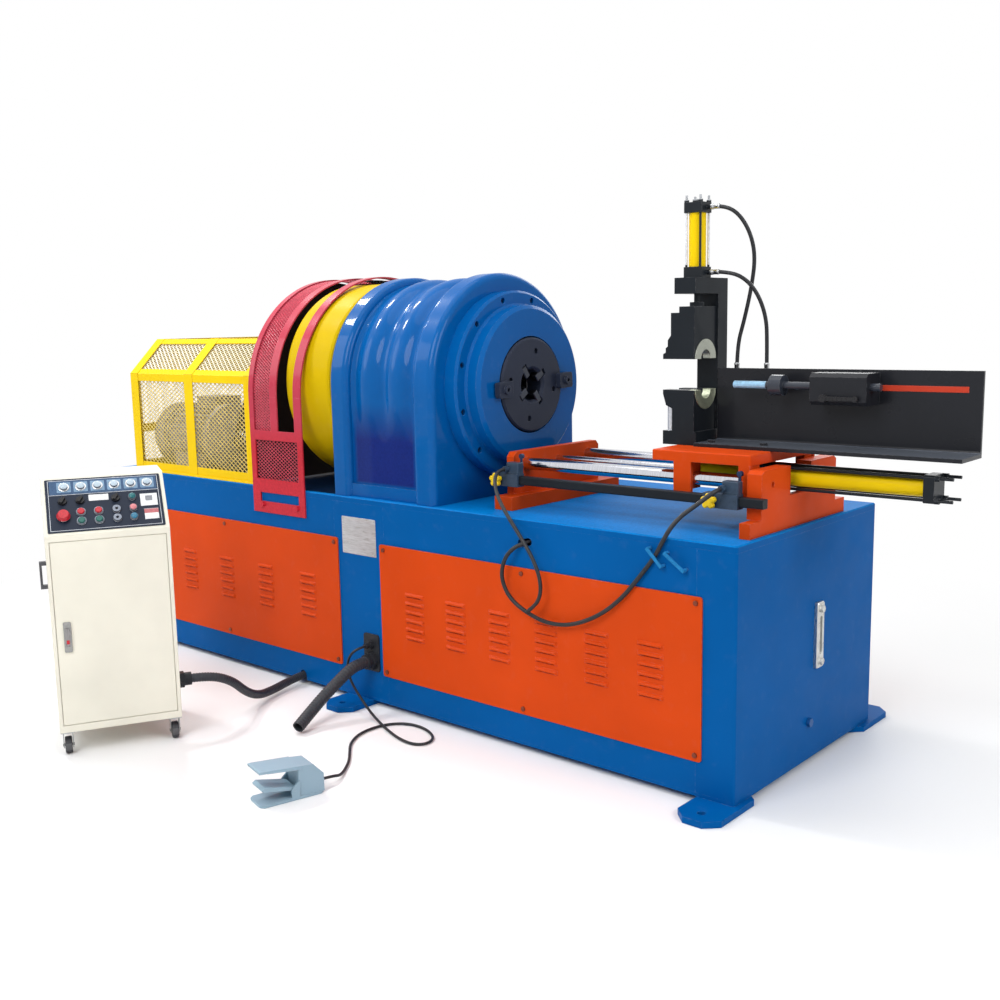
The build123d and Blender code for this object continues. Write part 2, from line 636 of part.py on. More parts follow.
# Main motor: finned frame, end bells, fan cowl, feet, terminal box and shaft
with BuildPart() as main_motor:
    add(turned([
        (MOTOR_X0, 0), (MOTOR_X0, MOTOR_R - 18), (MOTOR_X0 + 14, MOTOR_R), (MOTOR_X0 + 86, MOTOR_R),
        (MOTOR_X0 + 86, MOTOR_R - 12), (MOTOR_X0 + 104, MOTOR_R - 12), (MOTOR_X0 + 104, MOTOR_R - 20),
        (MOTOR_X1 - 66, MOTOR_R - 20), (MOTOR_X1 - 66, MOTOR_R + 4), (MOTOR_X1 - 34, MOTOR_R + 4),
        (MOTOR_X1 - 14, MOTOR_R - 40), (MOTOR_X1, 62), (MOTOR_X1, 21), (PULLEY_X0 + PULLEY_W + 2, 21),
        (PULLEY_X0 + PULLEY_W + 2, 0),
    ], MOTOR_Y, MOTOR_Z))
    with Locations(Location(((MOTOR_X0 + MOTOR_X1) / 2 + 19, MOTOR_Y, MOTOR_Z), (0, 90, 0))):
        with PolarLocations(MOTOR_R - 14, 28, start_angle=6):
            Box(20, 5, MOTOR_X1 - MOTOR_X0 - 168)
    for side in (-1, 1):
        block(MOTOR_X0 + 130, MOTOR_X1 - 80, MOTOR_Y + side * 127 - 34, MOTOR_Y + side * 127 + 34,
              BED_TOP, BED_TOP + 18)
        block(MOTOR_X0 + 140, MOTOR_X1 - 90, MOTOR_Y + side * 104 - 22, MOTOR_Y + side * 104 + 22,
              BED_TOP + 10, MOTOR_Z - 70)
    block(MOTOR_X0 + 170, MOTOR_X0 + 320, MOTOR_Y - 10, MOTOR_Y + 130, MOTOR_Z + MOTOR_R - 50,
          MOTOR_Z + MOTOR_R + 34)

# Cage over the motor: folded frame with two bays of mesh
CAGE_TOP = BED_TOP + CAGE_H
CAGE_MID = (CAGE_X0 + CAGE_X1) / 2
CAGE_KNEE = CAGE_TOP - CAGE_CUT
CAGE_BAYS = (
    (CAGE_X0 + CAGE_BAR, CAGE_MID - CAGE_BAR / 2),
    (CAGE_MID + CAGE_BAR / 2, CAGE_X1 - CAGE_BAR),
)


def cage_section(inset):
    """Outline across the cage, set in from its outer skin."""
    turn = inset * tan(radians(22.5))
    half = CAGE_HALF - inset
    top = CAGE_TOP - inset
    return [
        (-half, BED_TOP), (-half, CAGE_KNEE - turn), (-CAGE_HALF + CAGE_CUT + turn, top),
        (CAGE_HALF - CAGE_CUT - turn, top), (half, CAGE_KNEE - turn), (half, BED_TOP),
    ]


def cage_slopes():
    """Planes on the two sloping faces of the cage."""
    mid_y = CAGE_HALF - CAGE_CUT / 2
    mid_z = CAGE_TOP - CAGE_CUT / 2
    return [
        Plane(origin=(0, side * mid_y, mid_z), x_dir=(1, 0, 0), z_dir=(0, side, 1)) for side in (-1, 1)
    ]


def part_of(shape, x0, x1, y0, y1, z0, z1):
    """Solids of the part of a shape that lies inside a box."""
    with BuildPart() as cut:
        add(shape)
        block(x0, x1, y0, y1, z0, z1, mode=Mode.INTERSECT)
    return list(cut.part.solids())


def cage_walls(skin, depth):
    """Flat walls of a cage skin, parted at its folds: end, two sides, top and two slopes."""
    end_x = CAGE_X0 + depth
    out = BED_W
    fold = CAGE_HALF - CAGE_CUT
    walls = part_of(skin, CAGE_X0, end_x, -out, out, BED_TOP, CAGE_TOP)
    for y0, y1 in ((-out, 0), (0, out)):
        walls += part_of(skin, end_x, CAGE_X1, y0, y1, BED_TOP, CAGE_KNEE)
    for y0, y1 in ((-out, -fold), (-fold, fold), (fold, out)):
        walls += part_of(skin, end_x, CAGE_X1, y0, y1, CAGE_KNEE, CAGE_TOP)
    return walls


with BuildPart() as cage_skin:
    add(side_outline(cage_section(0), CAGE_X0, CAGE_X1))
    add(side_outline(cage_section(SHEET), CAGE_X0 + SHEET, CAGE_X1 + 1), mode=Mode.SUBTRACT)
    for side in (-1, 1):
        y0 = side * (CAGE_HALF + 8)
        block(CAGE_X0, CAGE_X1, y0 - 9, y0 + 9, BED_TOP, BED_TOP + 5)
    for x0, x1 in CAGE_BAYS:
        block(x0, x1, -CAGE_HALF - 1, CAGE_HALF + 1, BED_TOP + CAGE_BAR, CAGE_KNEE - 34, mode=Mode.SUBTRACT)
        flat = CAGE_HALF - CAGE_CUT - 24
        block(x0, x1, -flat, flat, CAGE_TOP - 20, CAGE_TOP + 1, mode=Mode.SUBTRACT)
        for slope in cage_slopes():
            with BuildSketch(slope):
                with Locations(((x0 + x1) / 2, 0)):
                    Rectangle(x1 - x0, CAGE_CUT * 1.414 - 58)
            extrude(amount=20, both=True, mode=Mode.SUBTRACT)
    for z0, z1 in ((BED_TOP + CAGE_BAR, BED_TOP + 175), (BED_TOP + 215, CAGE_KNEE - 20)):
        block(CAGE_X0 - 1, CAGE_X0 + SHEET + 1, -CAGE_HALF + 44, CAGE_HALF - 44, z0, z1, mode=Mode.SUBTRACT)
motor_cage = Compound(cage_walls(cage_skin.part, SHEET))

# Arched guard over the belts and flywheel, standing on the front of the bed
ARCH_TOP = GUARD_Z + GUARD_R + GUARD_T
FOOT_Z = BED_TOP - 110
CROSS_Z = BED_TOP + 215
GUARD_WINDOWS = ((GUARD_X0 + 30, GUARD_X0 + 140), (GUARD_X0 + 184, GUARD_X1 - 46))
WINDOW_BACK = GUARD_Y + 100.0


def arch_outline(r0, r1, near_z, far_z):
    """Face of an arch between two radii, with straight legs down to the given heights."""
    with BuildSketch(Plane.YZ) as face:
        with BuildLine():
            Line((GUARD_Y - r1, near_z), (GUARD_Y - r1, GUARD_Z))
            ThreePointArc((GUARD_Y - r1, GUARD_Z), (GUARD_Y, GUARD_Z + r1), (GUARD_Y + r1, GUARD_Z))
            Line((GUARD_Y + r1, GUARD_Z), (GUARD_Y + r1, far_z))
            Line((GUARD_Y + r1, far_z), (GUARD_Y + r0, far_z))
            Line((GUARD_Y + r0, far_z), (GUARD_Y + r0, GUARD_Z))
            ThreePointArc((GUARD_Y + r0, GUARD_Z), (GUARD_Y, GUARD_Z + r0), (GUARD_Y - r0, GUARD_Z))
            Line((GUARD_Y - r0, GUARD_Z), (GUARD_Y - r0, near_z))
            Line((GUARD_Y - r0, near_z), (GUARD_Y - r1, near_z))
        make_face()
    return face.sketch


def arch_walls(skin):
    """Bent and straight sheets of an arch's near side and crown, parted where they meet."""
    walls = part_of(skin, GUARD_X0, GUARD_X1, -BED_W, GUARD_Y, FOOT_Z, GUARD_Z)
    for y0, y1 in ((-BED_W, GUARD_Y), (GUARD_Y, BED_W)):
        walls += part_of(skin, GUARD_X0, GUARD_X1, y0, y1, GUARD_Z, ARCH_TOP)
    return walls


with BuildPart() as arch_skin:
    extrude(arch_outline(GUARD_R, GUARD_R + GUARD_T, FOOT_Z, BED_TOP), amount=GUARD_X1 - GUARD_X0)
    arch_skin.part.position = (GUARD_X0, 0, 0)
    for x0, x1 in GUARD_WINDOWS:
        block(x0, x1, GUARD_Y - GUARD_R - 30, GUARD_Y, CROSS_Z + 20, ARCH_TOP + 9, mode=Mode.SUBTRACT)
        block(x0, x1, GUARD_Y - 1, WINDOW_BACK, GUARD_Z, ARCH_TOP + 9, mode=Mode.SUBTRACT)
    block(GUARD_X0 + 32, GUARD_X1 - 32, GUARD_Y - GUARD_R - 20, GUARD_Y - GUARD_R + 20,
          BED_TOP + 32, CROSS_Z - 20, mode=Mode.SUBTRACT)
    block(GUARD_X0 + 50, GUARD_X1 - 37, GUARD_Y - GUARD_R - 20, GUARD_Y - GUARD_R + 20,
          BED_TOP - 63, BED_TOP - 25, mode=Mode.SUBTRACT)
    block(GUARD_X0, GUARD_X1, GUARD_Y + GUARD_R, BED_W / 2, BED_TOP, BED_TOP + GUARD_T)
    with BuildSketch(Plane.XZ.offset(-GUARD_Y + GUARD_R + GUARD_T)):
        with Locations(((GUARD_X0 + GUARD_X1) / 2 + 8, BED_TOP - 76)):
            with GridLocations(GUARD_X1 - GUARD_X0 - 114, 1, 2, 1):
                RegularPolygon(12, 6)
    extrude(amount=9)
far_wall = part_of(arch_skin.part, GUARD_X0, GUARD_X1, GUARD_Y, BED_W, FOOT_Z, GUARD_Z)
belt_guard = Compound(arch_walls(arch_skin.part) + far_wall)

# Mesh of both guards: thin sheets behind the windows, opened by diamonds
with BuildPart() as cage_mesh:
    add(side_outline(cage_section(SHEET), CAGE_X0 + SHEET, CAGE_X1))
    add(side_outline(cage_section(SHEET + 2), CAGE_X0 + SHEET + 2, CAGE_X1 + 1), mode=Mode.SUBTRACT)
    for x0, x1 in CAGE_BAYS:
        mid = (x0 + x1) / 2
        with BuildSketch(Plane.XZ):
            with Locations((mid, (BED_TOP + CAGE_BAR + CAGE_KNEE - 34) / 2)):
                with GridLocations(96, 74, 4, 5):
                    Polygon((-44, 0), (0, 33), (44, 0), (0, -33))
        extrude(amount=CAGE_HALF, both=True, mode=Mode.SUBTRACT)
        with BuildSketch(Plane.XY.offset(CAGE_TOP)):
            with Locations((mid, 0)):
                with GridLocations(96, 96, 4, 6):
                    Polygon((-44, 0), (0, 43), (44, 0), (0, -43))
        extrude(amount=-20, mode=Mode.SUBTRACT)
        for slope in cage_slopes():
            with BuildSketch(slope):
                with Locations((mid, 0)):
                    with GridLocations(96, 78, 4, 2):
                        Polygon((-44, 0), (0, 34), (44, 0), (0, -34))
            extrude(amount=20, both=True, mode=Mode.SUBTRACT)
    with BuildSketch(Plane.YZ.offset(CAGE_X0)):
        for row_z, rows in ((BED_TOP + 109, 2), (BED_TOP + 318, 3)):
            with Locations((0, row_z)):
                with GridLocations(104, 66, 8, rows):
                    Polygon((-48, 0), (0, 29), (48, 0), (0, -29))
    extrude(amount=20, mode=Mode.SUBTRACT)

with BuildPart() as arch_mesh:
    band = extrude(arch_outline(GUARD_R - 2, GUARD_R, BED_TOP + 24, BED_TOP + 50), amount=135,
                   mode=Mode.PRIVATE)
    add(Pos(GUARD_X0 + 17, 0, 0) * band)
    block(GUARD_X0, GUARD_X1, WINDOW_BACK + 15, GUARD_Y + GUARD_R + 1, BED_TOP, ARCH_TOP, mode=Mode.SUBTRACT)
    block(GUARD_X0 + 152, GUARD_X1 - 20, GUARD_Y - GUARD_R, GUARD_Y - GUARD_R + 2, BED_TOP + 24, CROSS_Z - 12)
    for step in range(7):
        angle = 14.0 * step + 6.0
        spoke = Plane(origin=(GUARD_X0 + 84.5, GUARD_Y, GUARD_Z), x_dir=(1, 0, 0),
                      z_dir=(0, -cos(radians(angle)), sin(radians(angle))))
        with BuildSketch(spoke.offset(GUARD_R - 12)):
            with GridLocations(54, 1, 2, 1):
                Polygon((-24, 0), (0, 48), (24, 0), (0, -48))
        extrude(amount=24, mode=Mode.SUBTRACT)
    with BuildSketch(Plane.XZ.offset(-GUARD_Y + GUARD_R)):
        with Locations(((GUARD_X0 + GUARD_X1) / 2, BED_TOP + 114)):
            with GridLocations(66, 54, 4, 3):
                Polygon((-30, 0), (0, 23), (30, 0), (0, -23))
    extrude(amount=-6, mode=Mode.SUBTRACT)
guard_meshes = Compound(cage_walls(cage_mesh.part, SHEET + 2) + arch_walls(arch_mesh.part))

# Brackets at both ends of the guide rods
NEAR = AX_Y - UPRIGHT_HALF
FAR = AX_Y + UPRIGHT_HALF
UPRIGHT_TOP = ROD_Z + 46
with BuildPart() as rail_brackets:
    block(LEFT_X, LEFT_X + 80, AX_Y - BASE_HALF, AX_Y + BASE_HALF, BED_TOP, BED_TOP + 48)
    add(side_outline([
        (NEAR, BED_TOP + 48), (NEAR, UPRIGHT_TOP - 16), (NEAR + 16, UPRIGHT_TOP), (FAR - 16, UPRIGHT_TOP),
        (FAR, UPRIGHT_TOP - 16), (FAR, BED_TOP + 48),
    ], LEFT_X, LEFT_X + 32))
    block(RIGHT_X - 36, RIGHT_X, AX_Y - BASE_HALF, AX_Y + BASE_HALF, BED_TOP, BED_TOP + 48)
    add(side_outline([
        (NEAR, BED_TOP + 48), (NEAR, UPRIGHT_TOP - 10), (NEAR + 16, UPRIGHT_TOP), (AX_Y - 70, UPRIGHT_TOP),
        (AX_Y - 70, BED_TOP + 105), (AX_Y + 70, BED_TOP + 105), (AX_Y + 70, UPRIGHT_TOP),
        (FAR - 16, UPRIGHT_TOP), (FAR, UPRIGHT_TOP - 10), (FAR, BED_TOP + 48),
    ], RIGHT_X - 50, RIGHT_X))
    for side in (-1, 1):
        rod_x(LEFT_X - 1, RIGHT_X - 12, AX_Y + side * ROD_OFF, ROD_Z, ROD_R, mode=Mode.SUBTRACT)
        rod_x(RIGHT_X - 14, RIGHT_X + 1, AX_Y + side * ROD_OFF, ROD_Z, 9, mode=Mode.SUBTRACT)
    rod_x(LEFT_X - 1, LEFT_X + 33, AX_Y, ROD_Z, FEED_ROD_R, mode=Mode.SUBTRACT)
    # Hollows that leave the right bracket as two posts on a cross plate
    block(RIGHT_X - 51, RIGHT_X - 24, AX_Y - 70, AX_Y + 70, BED_TOP + 60, BED_TOP + 106, mode=Mode.SUBTRACT)

# Two guide rods and the feed piston rod anchored in the left bracket
PISTON_X = TABLE_X0 + 80
with BuildPart() as guide_rods:
    for side in (-1, 1):
        rod_x(LEFT_X - 6, RIGHT_X - 12, AX_Y + side * ROD_OFF, ROD_Z, ROD_R)
    rod_x(LEFT_X - 16, PISTON_X, AX_Y, ROD_Z, FEED_ROD_R)
    rod_x(PISTON_X, PISTON_X + 32, AX_Y, ROD_Z, BARREL_BORE - 0.3)
    with BuildSketch(Plane.YZ.offset(LEFT_X - 14)):
        with Locations((AX_Y, ROD_Z)):
            RegularPolygon(22, 6)
    extrude(amount=14)

# Carriage: table on four bearing blocks with side cheeks
LEG_SPANS = ((TABLE_X0 + 83, TABLE_X0 + 147), (TABLE_X1 - 40, TABLE_X1))
with BuildPart() as carriage:
    with BuildSketch(Plane.XY.offset(TABLE_Z0)):
        with Locations(((TABLE_X0 + TABLE_X1) / 2, AX_Y)):
            RectangleRounded(TABLE_X1 - TABLE_X0, 2 * TABLE_HALF, 6)
    extrude(amount=TABLE_T)
    chamfer(carriage.faces().sort_by(Axis.Z)[-1].edges(), 3)
    for x0, x1 in LEG_SPANS:
        for side in (-1, 1):
            cheek = AX_Y + side * (TABLE_HALF - 7)
            block(x0, x1, cheek - 7, cheek + 7, ROD_Z - 46, TABLE_Z0)
            rod_y = AX_Y + side * ROD_OFF
            block(x0 + 4, x1 - 4, rod_y - 32, rod_y + 32, ROD_Z - 34, TABLE_Z0)
            rod_x(x0, x1, rod_y, ROD_Z, ROD_R + 0.08, mode=Mode.SUBTRACT)
    block(TABLE_X0 + 6, TABLE_X0 + 46, AX_Y - 46, AX_Y + 46, ROD_Z + FEED_CAP / 2, TABLE_Z0)

# Barrels of the feed cylinder and of the clamp cylinder
ARM_TOP = ARM_Z0 + ARM_T
BARREL_Z0 = ARM_TOP + 35
BARREL_Z1 = BARREL_Z0 + CLAMP_BARREL
FEED_X0 = TABLE_X0 + 45
with BuildPart() as cylinder_barrels:
    rod_x(FEED_X0, FEED_END, AX_Y, ROD_Z, BARREL_R)
    rod_x(FEED_X0 - 1, FEED_END + 1, AX_Y, ROD_Z, BARREL_BORE, mode=Mode.SUBTRACT)
    rod_z(TOWER_X, AX_Y, BARREL_Z0, BARREL_Z1, BARREL_R)
    rod_z(TOWER_X, AX_Y, BARREL_Z0 - 1, BARREL_Z1 + 1, BARREL_BORE, mode=Mode.SUBTRACT)

# End heads and tie rods of both cylinders, with ports and nuts
with BuildPart() as cylinder_heads:
    with BuildSketch(Plane.YZ.offset(FEED_X0 - 38)):
        with Locations((AX_Y, ROD_Z)):
            RectangleRounded(FEED_CAP, FEED_CAP, 8)
            Circle(FEED_ROD_R + 0.3, mode=Mode.SUBTRACT)
    extrude(amount=38)
    with BuildSketch(Plane.YZ.offset(FEED_END)):
        with Locations((AX_Y, ROD_Z)):
            RectangleRounded(FEED_CAP, FEED_CAP, 8)
    extrude(amount=32)
    for sy in (-1, 1):
        for sz in (-1, 1):
            rod_x(FEED_X0 - 1, FEED_END + 84, AX_Y + sy * 33, ROD_Z + sz * 33, 5)
            with BuildSketch(Plane.YZ.offset(FEED_END + 32)):
                with Locations((AX_Y + sy * 33, ROD_Z + sz * 33)):
                    RegularPolygon(10, 6)
            extrude(amount=14)
    with BuildSketch(Plane.XY.offset(ARM_TOP)):
        with Locations((TOWER_X, AX_Y)):
            RectangleRounded(CLAMP_CAP, CLAMP_CAP, 6)
            Circle(10.3, mode=Mode.SUBTRACT)
    extrude(amount=35)
    with BuildSketch(Plane.XY.offset(BARREL_Z1)):
        with Locations((TOWER_X, AX_Y)):
            RectangleRounded(CLAMP_CAP, CLAMP_CAP, 6)
    extrude(amount=33)
    with Locations((TOWER_X, AX_Y, 0)):
        with GridLocations(52, 52, 2, 2):
            with Locations((0, 0, (ARM_TOP + BARREL_Z1) / 2 + 28)):
                Cylinder(4, BARREL_Z1 - ARM_TOP + 55)
            with Locations((0, 0, BARREL_Z1 + 37)):
                Cylinder(8, 8)
    rod_z(TOWER_X, AX_Y, BARREL_Z1 + 33, BARREL_Z1 + 43, 17)
    for port_z in (ARM_TOP + 17, BARREL_Z1 + 17):
        rod_x(TOWER_X + CLAMP_CAP / 2, TOWER_X + CLAMP_CAP / 2 + 16, AX_Y + 8, port_z, 8)

# Clamp tower: C-frame with the lower jaw, open to the front
LOW_Z = TABLE_TOP
TX0 = TOWER_X - TOWER_W / 2
TX1 = TOWER_X + TOWER_W / 2
JY0 = AX_Y - JAW_HALF
JY1 = AX_Y + JAW_HALF
with BuildPart() as clamp_frame:
    add(side_outline([
        (JY0, LOW_Z), (COLUMN_Y1, LOW_Z), (COLUMN_Y1, ARM_TOP), (JY0 - 6, ARM_TOP), (JY0 - 6, ARM_Z0),
        (COLUMN_Y0, ARM_Z0), (COLUMN_Y0, LOW_Z + 46), (JY0, LOW_Z + 46),
    ], TX0, TX1))
    block(JAW_X0, TX1, JY0, COLUMN_Y1, LOW_Z, LOW_Z + 46)
    add(front_outline([
        (JAW_X0, AX_Z), (JAW_X1, AX_Z), (JAW_X1, LOW_Z + 40), (JAW_X0 + 36, LOW_Z + 40),
        (JAW_X0 + 36, AX_Z - 62), (JAW_X0 + 12, AX_Z - 52), (JAW_X0, AX_Z - 14),
    ], JY0, JY1))
    rod_z(JAW_X0 + 18, JY0 + 26, LOW_Z + 46, AX_Z - 56, 13)
    rod_z(TOWER_X, AX_Y, ARM_Z0 - 1, ARM_TOP + 1, 10.3, mode=Mode.SUBTRACT)
    rod_x(JAW_X0 - 1, JAW_X1 + 1, AX_Y, AX_Z, DIE_BORE, mode=Mode.SUBTRACT)
    rod_x(JAW_X1 - 26, JAW_X1 + 1, AX_Y, AX_Z, DIE_R, mode=Mode.SUBTRACT)

# Sliding upper jaw on the clamp piston rod
OPEN_Z = AX_Z + JAW_GAP
JAW_TOP = OPEN_Z + 152
with BuildPart() as upper_jaw:
    add(front_outline([
        (JAW_X0, OPEN_Z), (JAW_X1, OPEN_Z), (JAW_X1, JAW_TOP + 20), (JAW_X0 + 62, JAW_TOP + 20),
        (JAW_X0 + 62, JAW_TOP), (JAW_X0 + 30, JAW_TOP), (JAW_X0 + 30, OPEN_Z + 78),
        (JAW_X0 + 18, OPEN_Z + 62), (JAW_X0 + 18, OPEN_Z + 42), (JAW_X0 + 10, OPEN_Z + 36),
        (JAW_X0 + 10, OPEN_Z + 22), (JAW_X0, OPEN_Z + 16),
    ], JY0, JY1 - 0.5))
    rod_x(JAW_X0 - 1, JAW_X1 + 1, AX_Y, OPEN_Z, DIE_BORE, mode=Mode.SUBTRACT)
    rod_x(JAW_X1 - 26, JAW_X1 + 1, AX_Y, OPEN_Z, DIE_R, mode=Mode.SUBTRACT)
    rod_z(TOWER_X, AX_Y, JAW_TOP + 19, BARREL_Z1 - 14, 10)
    rod_z(TOWER_X, AX_Y, JAW_TOP + 20, JAW_TOP + 34, 24)
    rod_z(TOWER_X, AX_Y, BARREL_Z1 - 40, BARREL_Z1 - 14, BARREL_BORE - 0.3)


def half_die(z, up):
    """Half ring that seats in a jaw and grips the pipe."""
    with BuildPart() as ring:
        with BuildSketch(Plane.YZ.offset(JAW_X1 - 26)):
            with Locations((AX_Y, z)):
                Circle(DIE_R)
                Circle(DIE_BORE, mode=Mode.SUBTRACT)
            with Locations((AX_Y, z - up * DIE_R)):
                Rectangle(4 * DIE_R, 2 * DIE_R, mode=Mode.SUBTRACT)
        extrude(amount=29)
    return ring.part


with BuildPart() as upper_die:
    add(half_die(OPEN_Z, 1))

with BuildPart() as lower_die:
    add(half_die(AX_Z, -1))

# Trough: bent plate that carries the pipe stop block and its bolts
PLATE_Y = AX_Y + 62.0
STOP_B0 = TROUGH_X0 + 379
STOP_B1 = STOP_B0 + 183
with BuildPart() as trough:
    add(side_outline([
        (PLATE_Y - TROUGH_DEPTH + 10, LOW_Z), (PLATE_Y + 10, LOW_Z), (PLATE_Y + 10, TROUGH_TOP),
        (PLATE_Y, TROUGH_TOP), (PLATE_Y, LOW_Z + 12), (PLATE_Y - TROUGH_DEPTH + 10, LOW_Z + 12),
    ], TROUGH_X0, TROUGH_X1))
    inside = trough.edges().filter_by(Axis.X).sort_by_distance((TROUGH_X0, PLATE_Y, LOW_Z + 12))[0]
    fillet(inside, 8)
    add(side_outline([
        (PLATE_Y, STOP_Z - 56), (PLATE_Y, STOP_Z + 42), (AX_Y - 24, STOP_Z + 42), (AX_Y - 36, STOP_Z + 30),
        (AX_Y - 36, STOP_Z - 44), (AX_Y - 24, STOP_Z - 56),
    ], STOP_B0, STOP_B1))
    rod_x(STOP_B0 - 1, STOP_B1 + 1, AX_Y, STOP_Z, STOP_R + 0.1, mode=Mode.SUBTRACT)
    with BuildSketch(Plane.XY.offset(LOW_Z + 12)):
        with Locations((TROUGH_X0 + 138, PLATE_Y - 110)):
            with GridLocations(190, 1, 2, 1):
                RegularPolygon(14, 6)
    extrude(amount=9)
    # Union block behind the plate where the clamp hoses end
    block(TROUGH_X0 + 8, TROUGH_X0 + 178, PLATE_Y + 10, PLATE_Y + 58, TROUGH_TOP - 60, TROUGH_TOP - 12)

# Pipe stop: bar with a collar, held by a clamping lever
with BuildPart() as stop_bar:
    rod_x(STOP_B0 - 282, STOP_B1 + 30, AX_Y, STOP_Z, STOP_R)
    rod_x(STOP_B0 - 145, STOP_B0 - 103, AX_Y, STOP_Z, 33)
    chamfer(stop_bar.edges().filter_by(GeomType.CIRCLE).sort_by(Axis.X)[0], 3)

LEVER_X = STOP_B0 + 51
LEVER_Y = AX_Y - 36.0
LEVER_Z = STOP_Z - 34.0
with BuildPart() as stop_lever:
    with BuildSketch(Plane.XZ.offset(-LEVER_Y)):
        with Locations((LEVER_X, LEVER_Z)):
            Circle(12)
    extrude(amount=20)
    with BuildSketch(Plane.XZ.offset(-LEVER_Y + 8)):
        with BuildLine():
            Polyline((LEVER_X, LEVER_Z - 7), (LEVER_X + 98, LEVER_Z - 5), (LEVER_X + 98, LEVER_Z + 5),
                     (LEVER_X, LEVER_Z + 7), close=True)
        make_face()
        with Locations((LEVER_X + 102, LEVER_Z)):
            Circle(9)
    extrude(amount=10)

# Rail for the limit switches, screwed to the near edges of the brackets
RAIL_Y0 = RAIL_Y - RAIL_S / 2
RAIL_Y1 = RAIL_Y + RAIL_S / 2
with BuildPart() as switch_rail:
    with BuildSketch(Plane.YZ.offset(LEFT_X - 40)):
        with Locations((RAIL_Y, RAIL_Z)):
            RectangleRounded(RAIL_S, RAIL_S, 4)
    extrude(amount=RIGHT_X + 20 - LEFT_X + 40)


BOX_MID = SWITCH_BOX0 + 6
BOX_Z = RAIL_Z + RAIL_S / 2 + 24
BOX_FRONT = RAIL_Y0 - 21


def switch_body(x):
    """Slider on the rail at x, with a switch box beside it and a cable gland on the box's front."""
    low = RAIL_Z - RAIL_S / 2
    high = RAIL_Z + RAIL_S / 2
    with BuildPart() as body:
        add(side_outline([
            (RAIL_Y1 - 1, low - 8), (RAIL_Y1 - 1, low - 0.3), (RAIL_Y0 - 0.3, low - 0.3),
            (RAIL_Y0 - 0.3, high + 0.3), (RAIL_Y1 - 1, high + 0.3), (RAIL_Y1 - 1, high + 8),
            (RAIL_Y0 - 8, high + 8), (RAIL_Y0 - 8, low - 8),
        ], x - 30, x + SWITCH_BOX1))
        with BuildSketch(Plane.XY.offset(high + 8)):
            with Locations((x + (SWITCH_BOX0 + SWITCH_BOX1) / 2, RAIL_Y - 3)):
                RectangleRounded(SWITCH_BOX1 - SWITCH_BOX0, 32, 5)
        extrude(amount=40)
        fillet(body.faces().sort_by(Axis.Z)[-1].edges(), 4)
        with BuildSketch(Plane.XZ.offset(-(RAIL_Y0 - 4))):
            with Locations((x + BOX_MID, BOX_Z)):
                RegularPolygon(12, 6)
        extrude(amount=RAIL_Y0 - 4 - BOX_FRONT)
    return body.part


def switch_lever(x):
    """Pivot hub, arm and roller on the back of a switch box."""
    pivot_x = x + SWITCH_BOX1 - 14
    pivot_z = RAIL_Z + RAIL_S / 2 + 32
    with BuildPart() as arm:
        with BuildSketch(Plane.XZ.offset(-(RAIL_Y + 13.2))):
            with Locations((pivot_x, pivot_z)):
                Circle(8)
        extrude(amount=-6)
        with BuildSketch(Plane.XZ.offset(-(RAIL_Y + 15.2))):
            with BuildLine():
                Polyline((pivot_x - 5, pivot_z), (pivot_x + 5, pivot_z), (pivot_x + 4, pivot_z + 36),
                         (pivot_x - 4, pivot_z + 36), close=True)
            make_face()
        extrude(amount=-4)
        with BuildSketch(Plane.XZ.offset(-(RAIL_Y + 13.2))):
            with Locations((pivot_x, pivot_z + 36)):
                Circle(9)
        extrude(amount=-12)
    return arm.part


def star_knob(x):
    """Five-lobed clamping knob on the front of a slider."""
    with BuildPart() as knob:
        with BuildSketch(Plane.XZ.offset(-(RAIL_Y0 - 8.3))):
            with Locations((x, RAIL_Z)):
                Circle(9)
        extrude(amount=10)
        with BuildSketch(Plane.XZ.offset(-(RAIL_Y0 - 16))):
            with Locations((x, RAIL_Z)):
                Circle(17)
                with PolarLocations(16, 5, start_angle=18):
                    Circle(9)
        extrude(amount=16)
        chamfer(knob.faces().sort_by(Axis.Y)[0].edges(), 3)
    return knob.part


with BuildPart() as switch_left:
    add(switch_body(SWITCH_L_X))

with BuildPart() as switch_right:
    add(switch_body(SWITCH_R_X))

with BuildPart() as lever_left:
    add(switch_lever(SWITCH_L_X))

with BuildPart() as lever_right:
    add(switch_lever(SWITCH_R_X))

with BuildPart() as knob_left:
    add(star_knob(SWITCH_L_X))

with BuildPart() as knob_right:
    add(star_knob(SWITCH_R_X))

# Control cabinet in its own turned frame
turn = radians(CAB_TURN)
CAB = Plane(origin=(CAB_AT[0], CAB_AT[1], 0), x_dir=(cos(turn), sin(turn), 0), z_dir=(0, 0, 1))
CAB_SIDE = Plane(origin=CAB.origin, x_dir=CAB.y_dir, z_dir=CAB.x_dir)
FRONT = -30.0
BACK = FRONT + CAB_D
SLOPE = degrees(atan2(CAB_TOP - CAB_SLOPE_Z, CAB_SLOPE_D))


def cab_point(x, y, z):
    """World point of a cabinet-frame point."""
    return CAB.from_local_coords(Vector(x, y, z))


def cab_profile(inset):
    """Side outline of the cabinet body as (depth, height) points, set in from its skin."""
    rake = inset * tan(radians((90 - SLOPE) / 2))
    lift = inset * tan(radians(SLOPE / 2))
    return [
        (FRONT + inset, CAB_Z0 + inset), (BACK - inset, CAB_Z0 + inset), (BACK - inset, CAB_TOP - inset),
        (FRONT + CAB_SLOPE_D + lift, CAB_TOP - inset), (FRONT + inset, CAB_SLOPE_Z - rake),
    ]


